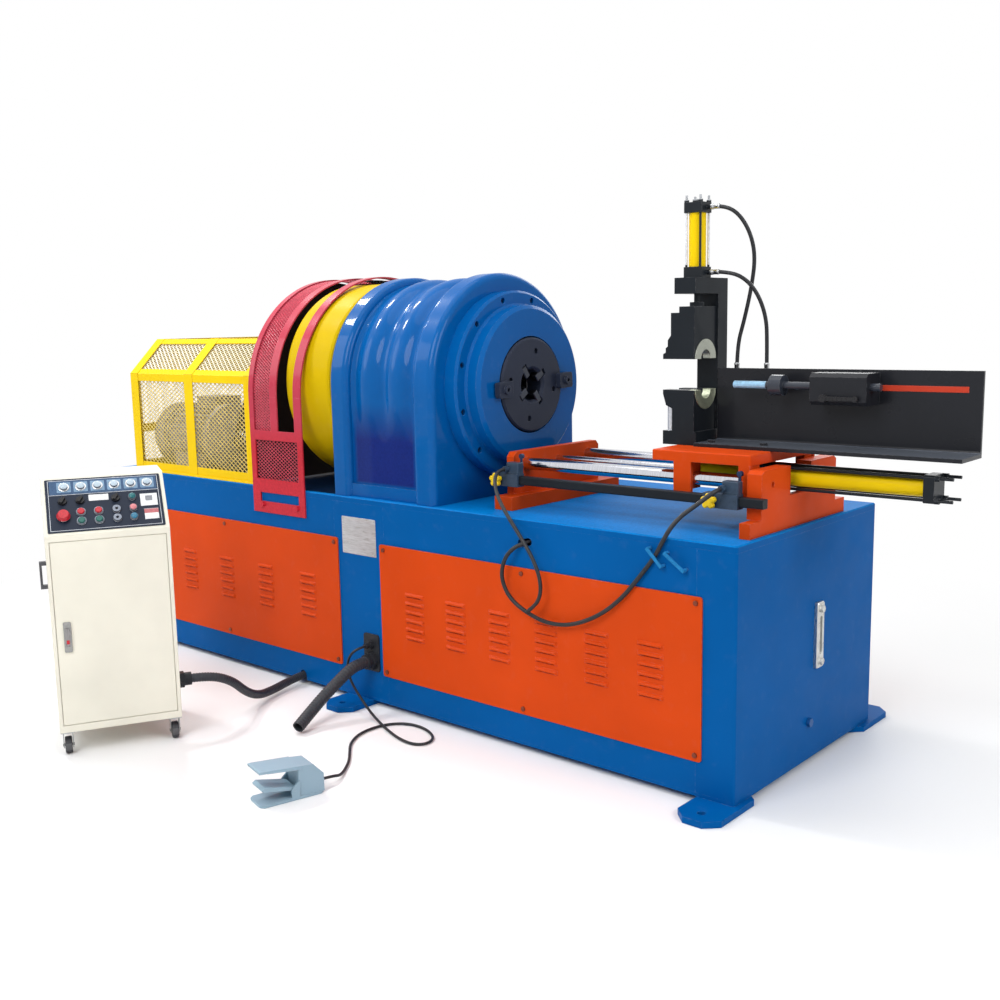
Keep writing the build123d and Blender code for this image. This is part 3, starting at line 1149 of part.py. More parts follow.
DOOR_X0 = -CAB_W / 2 + 14
DOOR_X1 = CAB_W / 2 - 14
DOOR_Z0 = CAB_Z0 + 26
DOOR_Z1 = CAB_SLOPE_Z - 22
WHEEL_SPOTS = ((-182.0, 6.0), (182.0, 6.0), (-182.0, 312.0), (182.0, 312.0))
with BuildPart() as cabinet_shell:
    with BuildSketch(CAB_SIDE.offset(-CAB_W / 2)):
        with BuildLine():
            Polyline(*cab_profile(0), close=True)
        make_face()
    extrude(amount=CAB_W)
    with BuildSketch(CAB_SIDE.offset(-CAB_W / 2 + CAB_SHEET)):
        with BuildLine():
            Polyline(*cab_profile(CAB_SHEET), close=True)
        make_face()
    extrude(amount=CAB_W - 2 * CAB_SHEET, mode=Mode.SUBTRACT)
    front_plane = Plane(origin=cab_point(0, FRONT - 1, (DOOR_Z0 + DOOR_Z1) / 2), x_dir=CAB.x_dir,
                        z_dir=-CAB.y_dir)
    with BuildSketch(front_plane):
        Rectangle(DOOR_X1 - DOOR_X0 + 2, DOOR_Z1 - DOOR_Z0 + 2)
    extrude(amount=-CAB_SHEET - 2, mode=Mode.SUBTRACT)
    with BuildSketch(front_plane.offset(-25)):
        Rectangle(CAB_W - 2 * CAB_SHEET, DOOR_Z1 - DOOR_Z0 + 44)
        Rectangle(DOOR_X1 - DOOR_X0 - 24, DOOR_Z1 - DOOR_Z0 - 24, mode=Mode.SUBTRACT)
    extrude(amount=-3)
    for spot_x, spot_y in WHEEL_SPOTS:
        with BuildSketch(Plane(CAB.location * Pos(spot_x, spot_y, CAB_Z0 - 5))):
            RectangleRounded(48, 60, 5)
        extrude(amount=5)
        for side in (-1, 1):
            cheek_plane = Plane(CAB.location * Pos(spot_x + side * 15.5, spot_y, 0))
            with BuildSketch(Plane(origin=cheek_plane.origin, x_dir=CAB.y_dir, z_dir=CAB.x_dir)):
                with BuildLine():
                    Polyline((-22, CAB_Z0 - 4), (22, CAB_Z0 - 4), (10, CASTER_R - 9), (-10, CASTER_R - 9),
                             close=True)
                make_face()
                with Locations((0, CASTER_R)):
                    Circle(5.1, mode=Mode.SUBTRACT)
            extrude(amount=1.5, both=True)
    # Lift handle on the left side and a cable gland on the right side
    left_plane = Plane(origin=cab_point(-CAB_W / 2, 40, 640), x_dir=CAB.y_dir, z_dir=-CAB.x_dir)
    with BuildSketch(left_plane):
        Rectangle(20, 96)
        Rectangle(20, 70, mode=Mode.SUBTRACT)
    extrude(amount=24)
    with BuildSketch(left_plane.offset(16)):
        Rectangle(20, 96)
    extrude(amount=8)
    gland_plane = Plane(origin=cab_point(CAB_W / 2, GLAND_Y, GLAND_Z), x_dir=-CAB.y_dir, z_dir=CAB.x_dir)
    with BuildSketch(gland_plane):
        RegularPolygon(31, 6)
    extrude(amount=20)
    with BuildSketch(gland_plane.offset(20)):
        Circle(24)
    extrude(amount=GLAND_OUT - 20)

LOCK_PLANE = Plane(origin=cab_point(-157, FRONT + 1.7, 428), x_dir=CAB.x_dir, z_dir=-CAB.y_dir)
with BuildPart() as cabinet_door:
    door_plane = Plane(origin=cab_point(0, FRONT + 20.7, (DOOR_Z0 + DOOR_Z1) / 2), x_dir=CAB.x_dir,
                       z_dir=-CAB.y_dir)
    with BuildSketch(door_plane):
        RectangleRounded(DOOR_X1 - DOOR_X0, DOOR_Z1 - DOOR_Z0, 4)
    extrude(amount=19)
    chamfer(cabinet_door.faces().sort_by(SortBy.AREA)[-1].edges(), 1.5)
    with BuildSketch(door_plane):
        Rectangle(DOOR_X1 - DOOR_X0 - 10, DOOR_Z1 - DOOR_Z0 - 10)
    extrude(amount=15, mode=Mode.SUBTRACT)
    with BuildSketch(LOCK_PLANE):
        RectangleRounded(26, 108, 5)
    extrude(amount=6)

# Swing handle on the lock plate
with BuildPart() as door_lock:
    with BuildSketch(LOCK_PLANE.offset(6.2)):
        RectangleRounded(16, 66, 5)
    extrude(amount=6)

# Sloping control panel with lamps, key switches, meter window and blank plates
PANEL_PLANE = Plane(
    origin=cab_point(0, FRONT + CAB_SLOPE_D / 2, (CAB_TOP + CAB_SLOPE_Z) / 2), x_dir=CAB.x_dir,
    z_dir=-CAB.y_dir * sin(radians(SLOPE)) + Vector(0, 0, cos(radians(SLOPE))),
)
COLS = (-140.0, -82.0, -24.0, 36.0, 92.0)
ROWS = (14.0, -34.0, -72.0)
STOP_AT = (COLS[0], -52.0)
CAP_R = 12.0
BEZEL_H = 6.0
BUTTON_TRAVEL = 3.0
with BuildPart() as control_panel:
    with BuildSketch(PANEL_PLANE):
        RectangleRounded(388, 226, 5)
    extrude(amount=3)
    with BuildSketch(PANEL_PLANE.offset(3)):
        with Locations((8, 76)):
            with GridLocations(56, 1, 6, 1):
                Circle(15)
    extrude(amount=9, taper=18)
    with BuildSketch(PANEL_PLANE.offset(3)):
        for y in ROWS:
            with Locations((COLS[4], y)):
                Circle(13)
        for y in ROWS[1:]:
            with Locations((COLS[3], y)):
                Circle(14)
                Circle(5, mode=Mode.SUBTRACT)
    extrude(amount=10)
    with BuildSketch(PANEL_PLANE.offset(3)):
        with Locations((COLS[2] + 4, ROWS[0] + 10)):
            Rectangle(66, 26)
        with Locations((148, 0)):
            Rectangle(58, 52)
        with Locations((152, -62)):
            Rectangle(48, 44)
    extrude(amount=1.2)
    with BuildSketch(PANEL_PLANE.offset(3)):
        for x in COLS[1:3]:
            for y in ROWS[1:]:
                with Locations((x, y)):
                    Circle(16)
                    Circle(CAP_R + 0.3, mode=Mode.SUBTRACT)
        with Locations(STOP_AT):
            Circle(17)
            Circle(CAP_R + 0.3, mode=Mode.SUBTRACT)
    extrude(amount=BEZEL_H)


def panel_button(x, y):
    """Cap of a push button, standing in its bezel with room to be pressed."""
    with BuildPart() as cap:
        with BuildSketch(PANEL_PLANE.offset(3 + BUTTON_TRAVEL + 0.3)):
            with Locations((x, y)):
                Circle(CAP_R)
        extrude(amount=BEZEL_H + 2.5)
        chamfer(cap.faces().sort_by(Axis.Z)[-1].edges(), 2)
    return cap.part


def selector(x, y):
    """Turning selector knob with a raised grip."""
    with BuildPart() as knob:
        with BuildSketch(PANEL_PLANE.offset(3.2)):
            with Locations((x, y)):
                Circle(15)
        extrude(amount=8, taper=8)
        with BuildSketch(PANEL_PLANE.offset(11.2)):
            with Locations((x, y)):
                Rectangle(9, 26, rotation=-30)
        extrude(amount=9)
    return knob.part


with BuildPart() as stop_mushroom:
    with BuildSketch(PANEL_PLANE.offset(7.5)):
        with Locations(STOP_AT):
            Circle(CAP_R)
    extrude(amount=8)
    with BuildSketch(PANEL_PLANE.offset(14)):
        with Locations(STOP_AT):
            Circle(23)
    extrude(amount=14, taper=22)

with BuildPart() as stop_button_1:
    add(panel_button(COLS[1], ROWS[1]))

with BuildPart() as stop_button_2:
    add(panel_button(COLS[2], ROWS[1]))

with BuildPart() as start_button_1:
    add(panel_button(COLS[1], ROWS[2]))

with BuildPart() as start_button_2:
    add(panel_button(COLS[2], ROWS[2]))

with BuildPart() as selector_1:
    add(selector(COLS[0], ROWS[0]))

with BuildPart() as selector_2:
    add(selector(COLS[1], ROWS[0]))

with BuildPart() as selector_3:
    add(selector(COLS[3], ROWS[0]))


def wheel_pair(spot_y):
    """Two castor wheels on one line, each with its own axle pin."""
    with BuildPart() as pair:
        for spot_x in (-182.0, 182.0):
            hub = Plane(CAB.location * Pos(spot_x, spot_y, CASTER_R))
            wheel_plane = Plane(origin=hub.origin, x_dir=CAB.y_dir, z_dir=CAB.x_dir)
            with BuildSketch(wheel_plane):
                Circle(CASTER_R)
            extrude(amount=12, both=True)
            with BuildSketch(wheel_plane):
                Circle(5)
            extrude(amount=19, both=True)
        rims = pair.edges().filter_by(GeomType.CIRCLE).filter_by(lambda edge: edge.radius > CASTER_R - 1)
        fillet(rims, 5)
    return pair.part


with BuildPart() as wheels_front:
    add(wheel_pair(WHEEL_SPOTS[0][1]))

with BuildPart() as wheels_rear:
    add(wheel_pair(WHEEL_SPOTS[2][1]))

# Foot switch: base with rear housing, pin ears and a raised hood, and the tilting tread
ped = radians(PEDAL_TURN)
PEDAL = Plane(origin=(PEDAL_AT[0], PEDAL_AT[1], 0), x_dir=(cos(ped), sin(ped), 0), z_dir=(0, 0, 1))
PEDAL_SIDE = Plane(origin=PEDAL.origin, x_dir=PEDAL.x_dir, z_dir=-PEDAL.y_dir)
REAR = PEDAL_L / 2
TOE = -PEDAL_L / 2
PIN_X = 8.0
PIN_Z = 34.0
PIN_R = 5.0
with BuildPart() as pedal_base:
    with BuildSketch(PEDAL):
        Rectangle(PEDAL_L, PEDAL_W)
        chamfer(vertices(), 12)
    extrude(amount=8)
    with BuildSketch(PEDAL_SIDE):
        with BuildLine():
            Polyline((22, 7), (REAR, 7), (REAR, 66), (REAR - 34, 102), (22, 108), close=True)
        make_face()
    extrude(amount=PEDAL_W / 2 - 3, both=True)
    with BuildSketch(PEDAL_SIDE):
        with BuildLine():
            Polyline((30, 100), (30, 108), (TOE + 8, 118), (TOE, 117), (TOE, 111), close=True)
        make_face()
    extrude(amount=PEDAL_W / 2, both=True)
    for side in (-1, 1):
        edge = PEDAL_SIDE.offset(side * (PEDAL_W / 2 - 3))
        with BuildSketch(edge):
            with BuildLine():
                Polyline((30, 96), (30, 107), (TOE + 26, 115), (TOE + 26, 108), close=True)
            make_face()
            with BuildLine():
                Polyline((24, 7), (24, 62), (PIN_X - 2, 46), (PIN_X - 12, PIN_Z), (PIN_X - 12, 7), close=True)
            make_face()
            with Locations((PIN_X, PIN_Z)):
                Circle(PIN_R + 0.05, mode=Mode.SUBTRACT)
        extrude(amount=3, both=True)
    gland_at = PEDAL.from_local_coords(Vector(REAR, 0, PEDAL_GLAND_Z))
    with BuildSketch(Plane(origin=gland_at, x_dir=PEDAL.y_dir, z_dir=PEDAL.x_dir)):
        Circle(11)
    extrude(amount=14)

with BuildPart() as pedal_tread:
    with BuildSketch(PEDAL_SIDE):
        with BuildLine():
            Polyline((PIN_X + 6, PIN_Z - 5), (PIN_X + 6, PIN_Z + 6), (TOE + 20, 62), (TOE + 9, 54),
                     (TOE + 12, 48), close=True)
        make_face()
    extrude(amount=PEDAL_W / 2 - 9, both=True)
    with BuildSketch(PEDAL_SIDE):
        with Locations((PIN_X, PIN_Z)):
            Circle(PIN_R)
    extrude(amount=PEDAL_W / 2, both=True)

# Cable glands on the front post: a large one for the stub conduit, a small one above it for the pedal
POST_GLAND = (100.0, 184.0)
SMALL_GLAND = (100.0, 247.0)
with BuildPart() as post_glands:
    with BuildSketch(Plane.XZ.offset(BED_W / 2)):
        with Locations((POST_GLAND[0], (POST_GLAND[1] + SMALL_GLAND[1]) / 2)):
            RectangleRounded(86, 148, 12)
    extrude(amount=6)
    with BuildSketch(Plane.XZ.offset(BED_W / 2 + 6)):
        with Locations(POST_GLAND):
            RegularPolygon(38, 6)
        with Locations(SMALL_GLAND):
            RegularPolygon(18, 6)
    extrude(amount=16)
    with BuildSketch(Plane.XZ.offset(BED_W / 2 + 22)):
        with Locations(POST_GLAND):
            Circle(29)
        with Locations(SMALL_GLAND):
            Circle(11)
    extrude(amount=18)

# Cables, conduits and hoses
GLAND_Y0 = -BED_W / 2 - 40
with BuildPart() as supply_conduit:
    add(flexible([
        tuple(cab_point(CAB_W / 2 + GLAND_OUT, GLAND_Y, GLAND_Z)),
        tuple(cab_point(CAB_W / 2 + GLAND_OUT + 70, GLAND_Y, GLAND_Z)),
        (-168, -960, 168), (-208, -872, 92), (-262, -775, 40), (-306, -670, 27), (-330, -575, 32),
        (NOTCH_X, -505, NOTCH_Z), (NOTCH_X, CONDUIT_END, NOTCH_Z),
    ], 17, "supply_conduit"))

with BuildPart() as stub_conduit:
    add(flexible([
        (POST_GLAND[0], GLAND_Y0, POST_GLAND[1]), (POST_GLAND[0], -570, POST_GLAND[1]), (98, -614, 171),
        (93, -664, 140),
        (88, -730, 100), (94, -806, 56), (116, -884, 25),
    ], 23, "stub_conduit"))

PEDAL_END = PEDAL.from_local_coords(Vector(REAR + 14, 0, PEDAL_GLAND_Z))
PEDAL_LEAD = PEDAL.from_local_coords(Vector(REAR + 54, 0, PEDAL_GLAND_Z))
with BuildPart() as pedal_cable:
    add(flexible([
        (SMALL_GLAND[0], GLAND_Y0, SMALL_GLAND[1]), (SMALL_GLAND[0], -552, SMALL_GLAND[1]), (92, -572, 240),
        (76, -584, 222), (62, -588, 190), (60, -586, 150), (76, -580, 104), (122, -580, 58), (196, -596, 18),
        (290, -632, 6), (410, -683, 6), (500, -704, 6), (548, -694, 6), (566, -660, 6), (548, -616, 6),
        (500, -582, 6), (440, -562, 6), (370, -564, 6), (318, -604, 6), (296, -670, 6), (302, -756, 6),
        (350, -838, 6), (414, -896, 6), (474, -952, 6), (526, -1020, 7), (555, -1064, 14), tuple(PEDAL_LEAD),
        tuple(PEDAL_END),
    ], 5, "pedal_cable"))

with BuildPart() as switch_cables:
    add(flexible([
        (905, -462, 748), (870, -500, 735), (838, -524, 706), (816, -530, 660), (810, -527, 606),
        (842, -523, 546), (916, -521, 507), (1005, -520, 484), (1105, -518, 494), (1214, -516, 544),
        (1297, -510, 612), (1361, -503, 692), (1412, -499, 757), (1441, -503, 808), (1462, -488, 854),
        (1484, -462, 888), (1510, -440, 912), (1540, -418, 940),
        (SWITCH_R_X + BOX_MID, BOX_FRONT - 26, BOX_Z), (SWITCH_R_X + BOX_MID, BOX_FRONT, BOX_Z),
    ], 7, "switch_cable"))
    add(flexible([
        (SWITCH_L_X + BOX_MID, BOX_FRONT, BOX_Z), (SWITCH_L_X + BOX_MID, BOX_FRONT - 24, BOX_Z),
        (692, -414, 948), (706, -436, 924),
        (738, -462, 890), (790, -490, 850), (848, -512, 806), (906, -526, 756), (958, -536, 700),
        (988, -539, 642), (992, -539, 588), (968, -538, 544), (922, -536, 512),
    ], 6.5, "switch_branch"))

port_x = TOWER_X + CLAMP_CAP / 2 + 16
with BuildPart() as clamp_hoses:
    add(flexible([
        (port_x, AX_Y + 8, BARREL_Z1 + 17), (port_x + 40, AX_Y + 8, BARREL_Z1 + 17), (1424, -40, 1812),
        (1458, -20, 1750), (1466, 2, 1672), (1444, 20, 1576), (1412, 32, 1468), (1384, 38, 1386),
        (1384, 38, TROUGH_TOP - 12),
    ], 6.5, "hose_upper"))
    add(flexible([
        (port_x, AX_Y + 8, ARM_TOP + 17), (port_x + 40, AX_Y + 8, ARM_TOP + 17), (1438, -36, 1612),
        (1480, -10, 1560), (1500, 18, 1478), (1494, 38, 1392), (1494, 38, TROUGH_TOP - 12),
    ], 6.5, "hose_lower"))

PIECES = {
    "bed_frame": bed_frame, "side_panels": side_panels, "screws": screws, "hydraulic_unit": hydraulic_unit,
    "oil_gauge": oil_gauge, "headstock": headstock, "front_cover": front_cover, "spindle": spindle,
    "spindle_bearings": spindle_bearings, "die_head": die_head, "die_inserts": die_inserts,
    "flywheel": flywheel, "belt_pulley": belt_pulley, "drive_belts": drive_belts, "main_motor": main_motor,
    "motor_pulley": motor_pulley, "motor_cage": motor_cage, "belt_guard": belt_guard,
    "guard_meshes": guard_meshes, "rail_brackets": rail_brackets, "guide_rods": guide_rods,
    "carriage": carriage, "cylinder_barrels": cylinder_barrels, "cylinder_heads": cylinder_heads,
    "clamp_frame": clamp_frame, "upper_jaw": upper_jaw, "upper_die": upper_die, "lower_die": lower_die,
    "trough": trough, "stop_bar": stop_bar, "stop_lever": stop_lever, "switch_rail": switch_rail,
    "switch_left": switch_left, "switch_right": switch_right, "lever_left": lever_left,
    "lever_right": lever_right, "knob_left": knob_left, "knob_right": knob_right,
    "cabinet_shell": cabinet_shell, "cabinet_door": cabinet_door, "door_lock": door_lock,
    "control_panel": control_panel, "stop_mushroom": stop_mushroom, "stop_button_1": stop_button_1,
    "stop_button_2": stop_button_2, "start_button_1": start_button_1, "start_button_2": start_button_2,
    "selector_1": selector_1, "selector_2": selector_2, "selector_3": selector_3,
    "wheels_front": wheels_front, "wheels_rear": wheels_rear, "pedal_base": pedal_base,
    "pedal_tread": pedal_tread, "post_glands": post_glands, "supply_conduit": supply_conduit,
    "stub_conduit": stub_conduit, "pedal_cable": pedal_cable, "switch_cables": switch_cables,
    "clamp_hoses": clamp_hoses,
}
for label, piece in PIECES.items():
    shape = piece.part if isinstance(piece, BuildPart) else piece
    shape.label = label
    export_step(shape, "parts/" + label + ".step")
    print(label, len(shape.solids()), round(shape.volume / 1000), "cm3")
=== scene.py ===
"""Looks of the pipe embossing machine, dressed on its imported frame. Metres, +Z up, the frame's own axes."""

import math

import bmesh
import bpy
from mathutils import Matrix, Vector


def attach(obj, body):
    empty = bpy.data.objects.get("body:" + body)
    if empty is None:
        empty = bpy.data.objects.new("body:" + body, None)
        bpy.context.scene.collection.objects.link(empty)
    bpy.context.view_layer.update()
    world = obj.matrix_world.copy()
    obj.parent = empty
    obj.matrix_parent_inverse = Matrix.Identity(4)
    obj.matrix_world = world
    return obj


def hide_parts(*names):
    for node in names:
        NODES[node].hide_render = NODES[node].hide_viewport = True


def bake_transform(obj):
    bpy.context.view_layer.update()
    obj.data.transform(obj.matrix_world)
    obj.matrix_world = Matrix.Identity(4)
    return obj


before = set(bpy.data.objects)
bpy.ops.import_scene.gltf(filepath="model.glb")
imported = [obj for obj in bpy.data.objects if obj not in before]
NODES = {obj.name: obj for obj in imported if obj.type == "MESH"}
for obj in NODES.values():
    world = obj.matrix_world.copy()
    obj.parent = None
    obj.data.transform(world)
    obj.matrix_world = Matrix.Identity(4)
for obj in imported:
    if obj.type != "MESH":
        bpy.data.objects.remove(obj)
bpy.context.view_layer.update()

X_DIR, Y_DIR, Z_DIR = Vector((1, 0, 0)), Vector((0, 1, 0)), Vector((0, 0, 1))

# Colours, linear
BLUE = (0.0005, 0.094, 0.330)
DECK_SHEEN_BLUE = (0.0005, 0.165, 0.500)
STRAP_BLUE = (0.020, 0.190, 0.440)
SHADED_BLUE = (0.004, 0.016, 0.050)
RECESS_SHADE_BLUE = (0.006, 0.020, 0.160)
PALE_BLUE = (0.300, 0.520, 0.720)
ORANGE = (0.610, 0.060, 0.006)
YELLOW = (0.820, 0.560, 0.003)
MESH_YELLOW = (0.72, 0.55, 0.15)
MESH_CROWN = (0.86, 0.80, 0.62)
RED = (0.470, 0.038, 0.070)
DEEP_RED = (0.510, 0.020, 0.036)
CREAM = (0.805, 0.778, 0.668)
NAVY = (0.017, 0.024, 0.042)
BLACK = (0.010, 0.013, 0.017)
IRON = (0.020, 0.026, 0.046)
STEEL = (0.560, 0.570, 0.590)
ZINC = (0.430, 0.440, 0.450)
TIE_ROD = (0.66, 0.67, 0.70)
GREY = (0.330, 0.325, 0.350)
SLATE = (0.030, 0.052, 0.085)
FADED = (0.55, 0.56, 0.58)
EDGE_HIGHLIGHT_GREY = (0.75, 0.76, 0.78)

# Spindle axis, and the ribbed barrel between the headstock's end plates
AXIS_Y, AXIS_Z = -0.060, 1.243
RIB_X0, RIB_X1 = -0.0130, 0.3480
RIB_START, RIB_PITCH = -0.014, 0.15447
RIB_MEAN, RIB_CREST, RIB_VALLEY = 0.395, 0.408, 0.388
VALLEY_SHARE = 0.35

# Cage of the motor; each post by its middle and breadth
CAGE_BAYS = ((-1.504, -1.099), (-1.057, -0.652))
CAGE_POSTS = ((-1.5185, 0.062), (-1.0780, 0.066), (-0.6410, 0.060))
CAGE_HALF, CAGE_CUT = 0.470, 0.155
CAGE_FOOT, CAGE_KNEE, CAGE_TOP = 0.8225, 1.275, 1.430
CAGE_END_X = -1.5395
CAGE_END_BAYS = ((0.862, 0.995), (1.035, 1.255))

# Arched guard of the flywheel: middle of its mesh, centre and radius of its arch, foot and reach of the mesh
GUARD_X, GUARD_Y, GUARD_Z = -0.520, -0.012, 1.194
GUARD_R = 0.4768
GUARD_FOOT = 1.048
GUARD_OVER = math.radians(103)

# Cabinet and pedal frames
CAB_TURN = math.radians(62.87)
CAB_U = Vector((math.cos(CAB_TURN), math.sin(CAB_TURN), 0))
CAB_V = Vector((-math.sin(CAB_TURN), math.cos(CAB_TURN), 0))
CAB_O = Vector((-0.297, -1.346, 0))
PANEL_RISE, PANEL_RUN = 180, 170
SLOPE = math.atan2(PANEL_RISE, PANEL_RUN)
PANEL_N = -CAB_V * math.sin(SLOPE) + Vector((0, 0, math.cos(SLOPE)))
PANEL_UP = PANEL_N.cross(CAB_U)
PED_TURN = math.radians(75)
PED_U = Vector((math.cos(PED_TURN), math.sin(PED_TURN), 0))
PED_V = Vector((-math.sin(PED_TURN), math.cos(PED_TURN), 0))
PED_O = Vector((0.522, -1.254, 0))


def mm(x, y, z):
    return Vector((x, y, z)) / 1000


def cab(x, y, z):
    """Point of the cabinet's own frame, in mm, as a frame point."""
    return CAB_O + (CAB_U * x + CAB_V * y + Vector((0, 0, z))) / 1000


PANEL_O = cab(0, 55, 875)


def panel(x, y, h):
    """Point on the sloping control panel, in mm across, up and off its back."""
    return PANEL_O + (CAB_U * x + PANEL_UP * y + PANEL_N * h) / 1000


def pedal(x, y, z):
    """Point of the foot switch's own frame, in mm, as a frame point."""
    return PED_O + (PED_U * x + PED_V * y + Vector((0, 0, z))) / 1000


# Shader building

NOISE_SPREAD = (0.3, 0.7)
EDGE_AGREES, EDGE_HIGHLIT = 0.985, 0.80
BEVEL_SAMPLES = 4


def tint(colour, factor):
    return tuple(min(1.0, c * factor) for c in colour)


def toward(colour, other, share):
    return tuple(a + (b - a) * share for a, b in zip(colour, other))


class Shader:
    """A node material under construction, ending in one Principled BSDF."""

    def __init__(self, name):
        self.material = bpy.data.materials.new(name)
        self.material.use_nodes = True
        self.tree = self.material.node_tree
        self.tree.nodes.clear()
        self.out = self.tree.nodes.new("ShaderNodeOutputMaterial")
        self.bsdf = self.tree.nodes.new("ShaderNodeBsdfPrincipled")
        self.tree.links.new(self.bsdf.outputs[0], self.out.inputs[0])
        self.place = self.node("ShaderNodeTexCoord").outputs["Object"]

    def node(self, kind, inputs=None, **settings):
        made = self.tree.nodes.new(kind)
        for key, value in settings.items():
            setattr(made, key, value)
        for key, value in (inputs or {}).items():
            self.put(made.inputs[key], value)
        return made

    def put(self, socket, value):
        if isinstance(value, bpy.types.NodeSocket):
            self.tree.links.new(value, socket)
        else:
            socket.default_value = value

    def set(self, **values):
        """Fill sockets of the BSDF, underscores standing for spaces."""
        for key, value in values.items():
            self.put(self.bsdf.inputs[key.replace("_", " ")], value)

    def maths(self, operation, a, b):
        return self.node("ShaderNodeMath", {0: a, 1: b}, operation=operation).outputs[0]

    def vectors(self, operation, a, b):
        return self.node("ShaderNodeVectorMath", {0: a, 1: b}, operation=operation)

    def noise(self, scale, detail=3.0, rough=0.5, place=None):
        return self.node("ShaderNodeTexNoise", {"Vector": place or self.place, "Scale": scale, "Detail": detail,
                                                "Roughness": rough}).outputs["Fac"]

    def ramp(self, value, low, high, to_low=0.0, to_high=1.0):
        return self.node("ShaderNodeMapRange", {0: value, 1: low, 2: high, 3: to_low, 4: to_high}).outputs[0]

    def mix(self, factor, a, b):
        made = self.node("ShaderNodeMix", data_type="RGBA")
        self.put(made.inputs[0], factor)
        for socket, value in ((made.inputs[6], a), (made.inputs[7], b)):
            self.put(socket, value if isinstance(value, bpy.types.NodeSocket) else (*value, 1.0))
        return made.outputs[2]

    def blend(self, factor, a, b):
        made = self.node("ShaderNodeMix", data_type="FLOAT")
        self.put(made.inputs[0], factor)
        self.put(made.inputs[2], a)
        self.put(made.inputs[3], b)
        return made.outputs[0]

    def clouded(self, noise, colour, dark, light):
        """Colour that wanders with a noise between a darker and a lighter tint."""
        return self.mix(self.ramp(noise, *NOISE_SPREAD), tint(colour, dark), tint(colour, light))

    def along(self, direction, origin):
        """Signed distance from origin along a direction, for masks by place."""
        shifted = self.vectors("SUBTRACT", self.place, origin).outputs[0]
        return self.vectors("DOT_PRODUCT", shifted, direction).outputs[1]

    def height(self):
        """Height above the floor."""
        return self.along((0, 0, 1), (0, 0, 0))

    def above(self, value, limit):
        return self.maths("GREATER_THAN", value, limit)

    def below(self, value, limit):
        return self.maths("LESS_THAN", value, limit)

    def both(self, a, b):
        return self.maths("MULTIPLY", a, b)

    def inside(self, value, low, high):
        return self.both(self.above(value, low), self.below(value, high))

    def box(self, low, high):
        """1 inside an upright box of the frame."""
        split = self.node("ShaderNodeSeparateXYZ", {0: self.place})
        parts = [self.inside(split.outputs[i], low[i], high[i]) for i in range(3)]
        return self.both(self.both(parts[0], parts[1]), parts[2])

    def facing_up(self, low, high):
        """Mask of level faces between two heights."""
        normal = self.node("ShaderNodeNewGeometry").outputs["True Normal"]
        level = self.vectors("DOT_PRODUCT", normal, (0, 0, 1)).outputs[1]
        return self.both(self.above(level, 0.7), self.inside(self.height(), low, high))

    def edges(self, radius):
        """Rounded normal and a mask that is 1 on edges, where paint() lightens the colour as a painted highlight.
        """
        round_normal = self.node("ShaderNodeBevel", {"Radius": radius}, samples=BEVEL_SAMPLES).outputs[0]
        flat = self.node("ShaderNodeNewGeometry").outputs["True Normal"]
        agree = self.vectors("DOT_PRODUCT", round_normal, flat).outputs[1]
        return round_normal, self.ramp(agree, EDGE_AGREES, EDGE_HIGHLIT)

    def bump(self, height, distance, strength, normal=None):
        inputs = {"Height": height, "Distance": distance, "Strength": strength}
        if normal is not None:
            inputs["Normal"] = normal
        return self.node("ShaderNodeBump", inputs).outputs[0]


# Noise scales of the enamel, in turns per metre, with its share of specks and of painted highlight on edges
CLOUD, SHEEN, MOTTLE, EDGE_HIGHLIGHT_PATCHES, GRAIN, PEEL = 1.7, 9.0, 26.0, 70.0, 120.0, 420.0
SPECKS, EDGE_HIGHLIGHT_SHARE = 0.045, 0.35
PAINT_EDGE, METAL_EDGE, PLASTIC_EDGE = 0.003, 0.0015, 0.001
PEEL_DEPTH, MARK_DEPTH, CAP_DEPTH, MESH_DEPTH = 0.00012, 0.00004, 0.00005, 0.00006


def paint(name, colour, rough, coat=0.0, zones=(), gloss=0.15):
    """Sprayed enamel: clouded colour, orange peel, softened edges with a slight painted highlight.
    zones are (mask builder, colour, roughness, metallic) for pieces of another finish in the same node, and for
    painted shade, sheen and highlight."""
    s = Shader(name)
    base = s.clouded(s.noise(CLOUD, 4.0, 0.6), colour, 0.90, 1.07)
    specks = SPECKS * min(1.0, 0.15 + 3.0 * max(colour))
    base = s.mix(s.ramp(s.noise(MOTTLE), 0.58, 0.80, 0.0, specks), base, toward(colour, FADED, 0.4))
    normal, edge = s.edges(PAINT_EDGE)
    # Painted highlight: edges lightened toward pale grey in patches
    edge_highlight = s.both(edge, s.ramp(s.noise(EDGE_HIGHLIGHT_PATCHES, 4.0), 0.42, 0.66, 0.0, EDGE_HIGHLIGHT_SHARE))
    base = s.mix(edge_highlight, base, toward(colour, EDGE_HIGHLIGHT_GREY, 0.5))
    shine = s.ramp(s.noise(SHEEN, 4.0), 0.3, 0.75, rough * 0.82, rough * 1.30)
    metal = 0.0
    for mask_of, zone_colour, zone_rough, zone_metal in zones:
        mask = mask_of(s)
        base = s.mix(mask, base, s.clouded(s.noise(GRAIN), zone_colour, 0.86, 1.10))
        shine = s.blend(mask, shine, zone_rough)
        metal = s.blend(mask, metal, zone_metal) if (metal or zone_metal) else 0.0
    s.set(Base_Color=base, Roughness=shine, Specular_IOR_Level=gloss)
    if coat:
        s.set(Coat_Weight=coat, Coat_Roughness=0.07)
    if metal:
        s.set(Metallic=metal)
    s.set(Normal=s.bump(s.noise(PEEL, 2.0), PEEL_DEPTH, 0.5, normal))
    return s.material


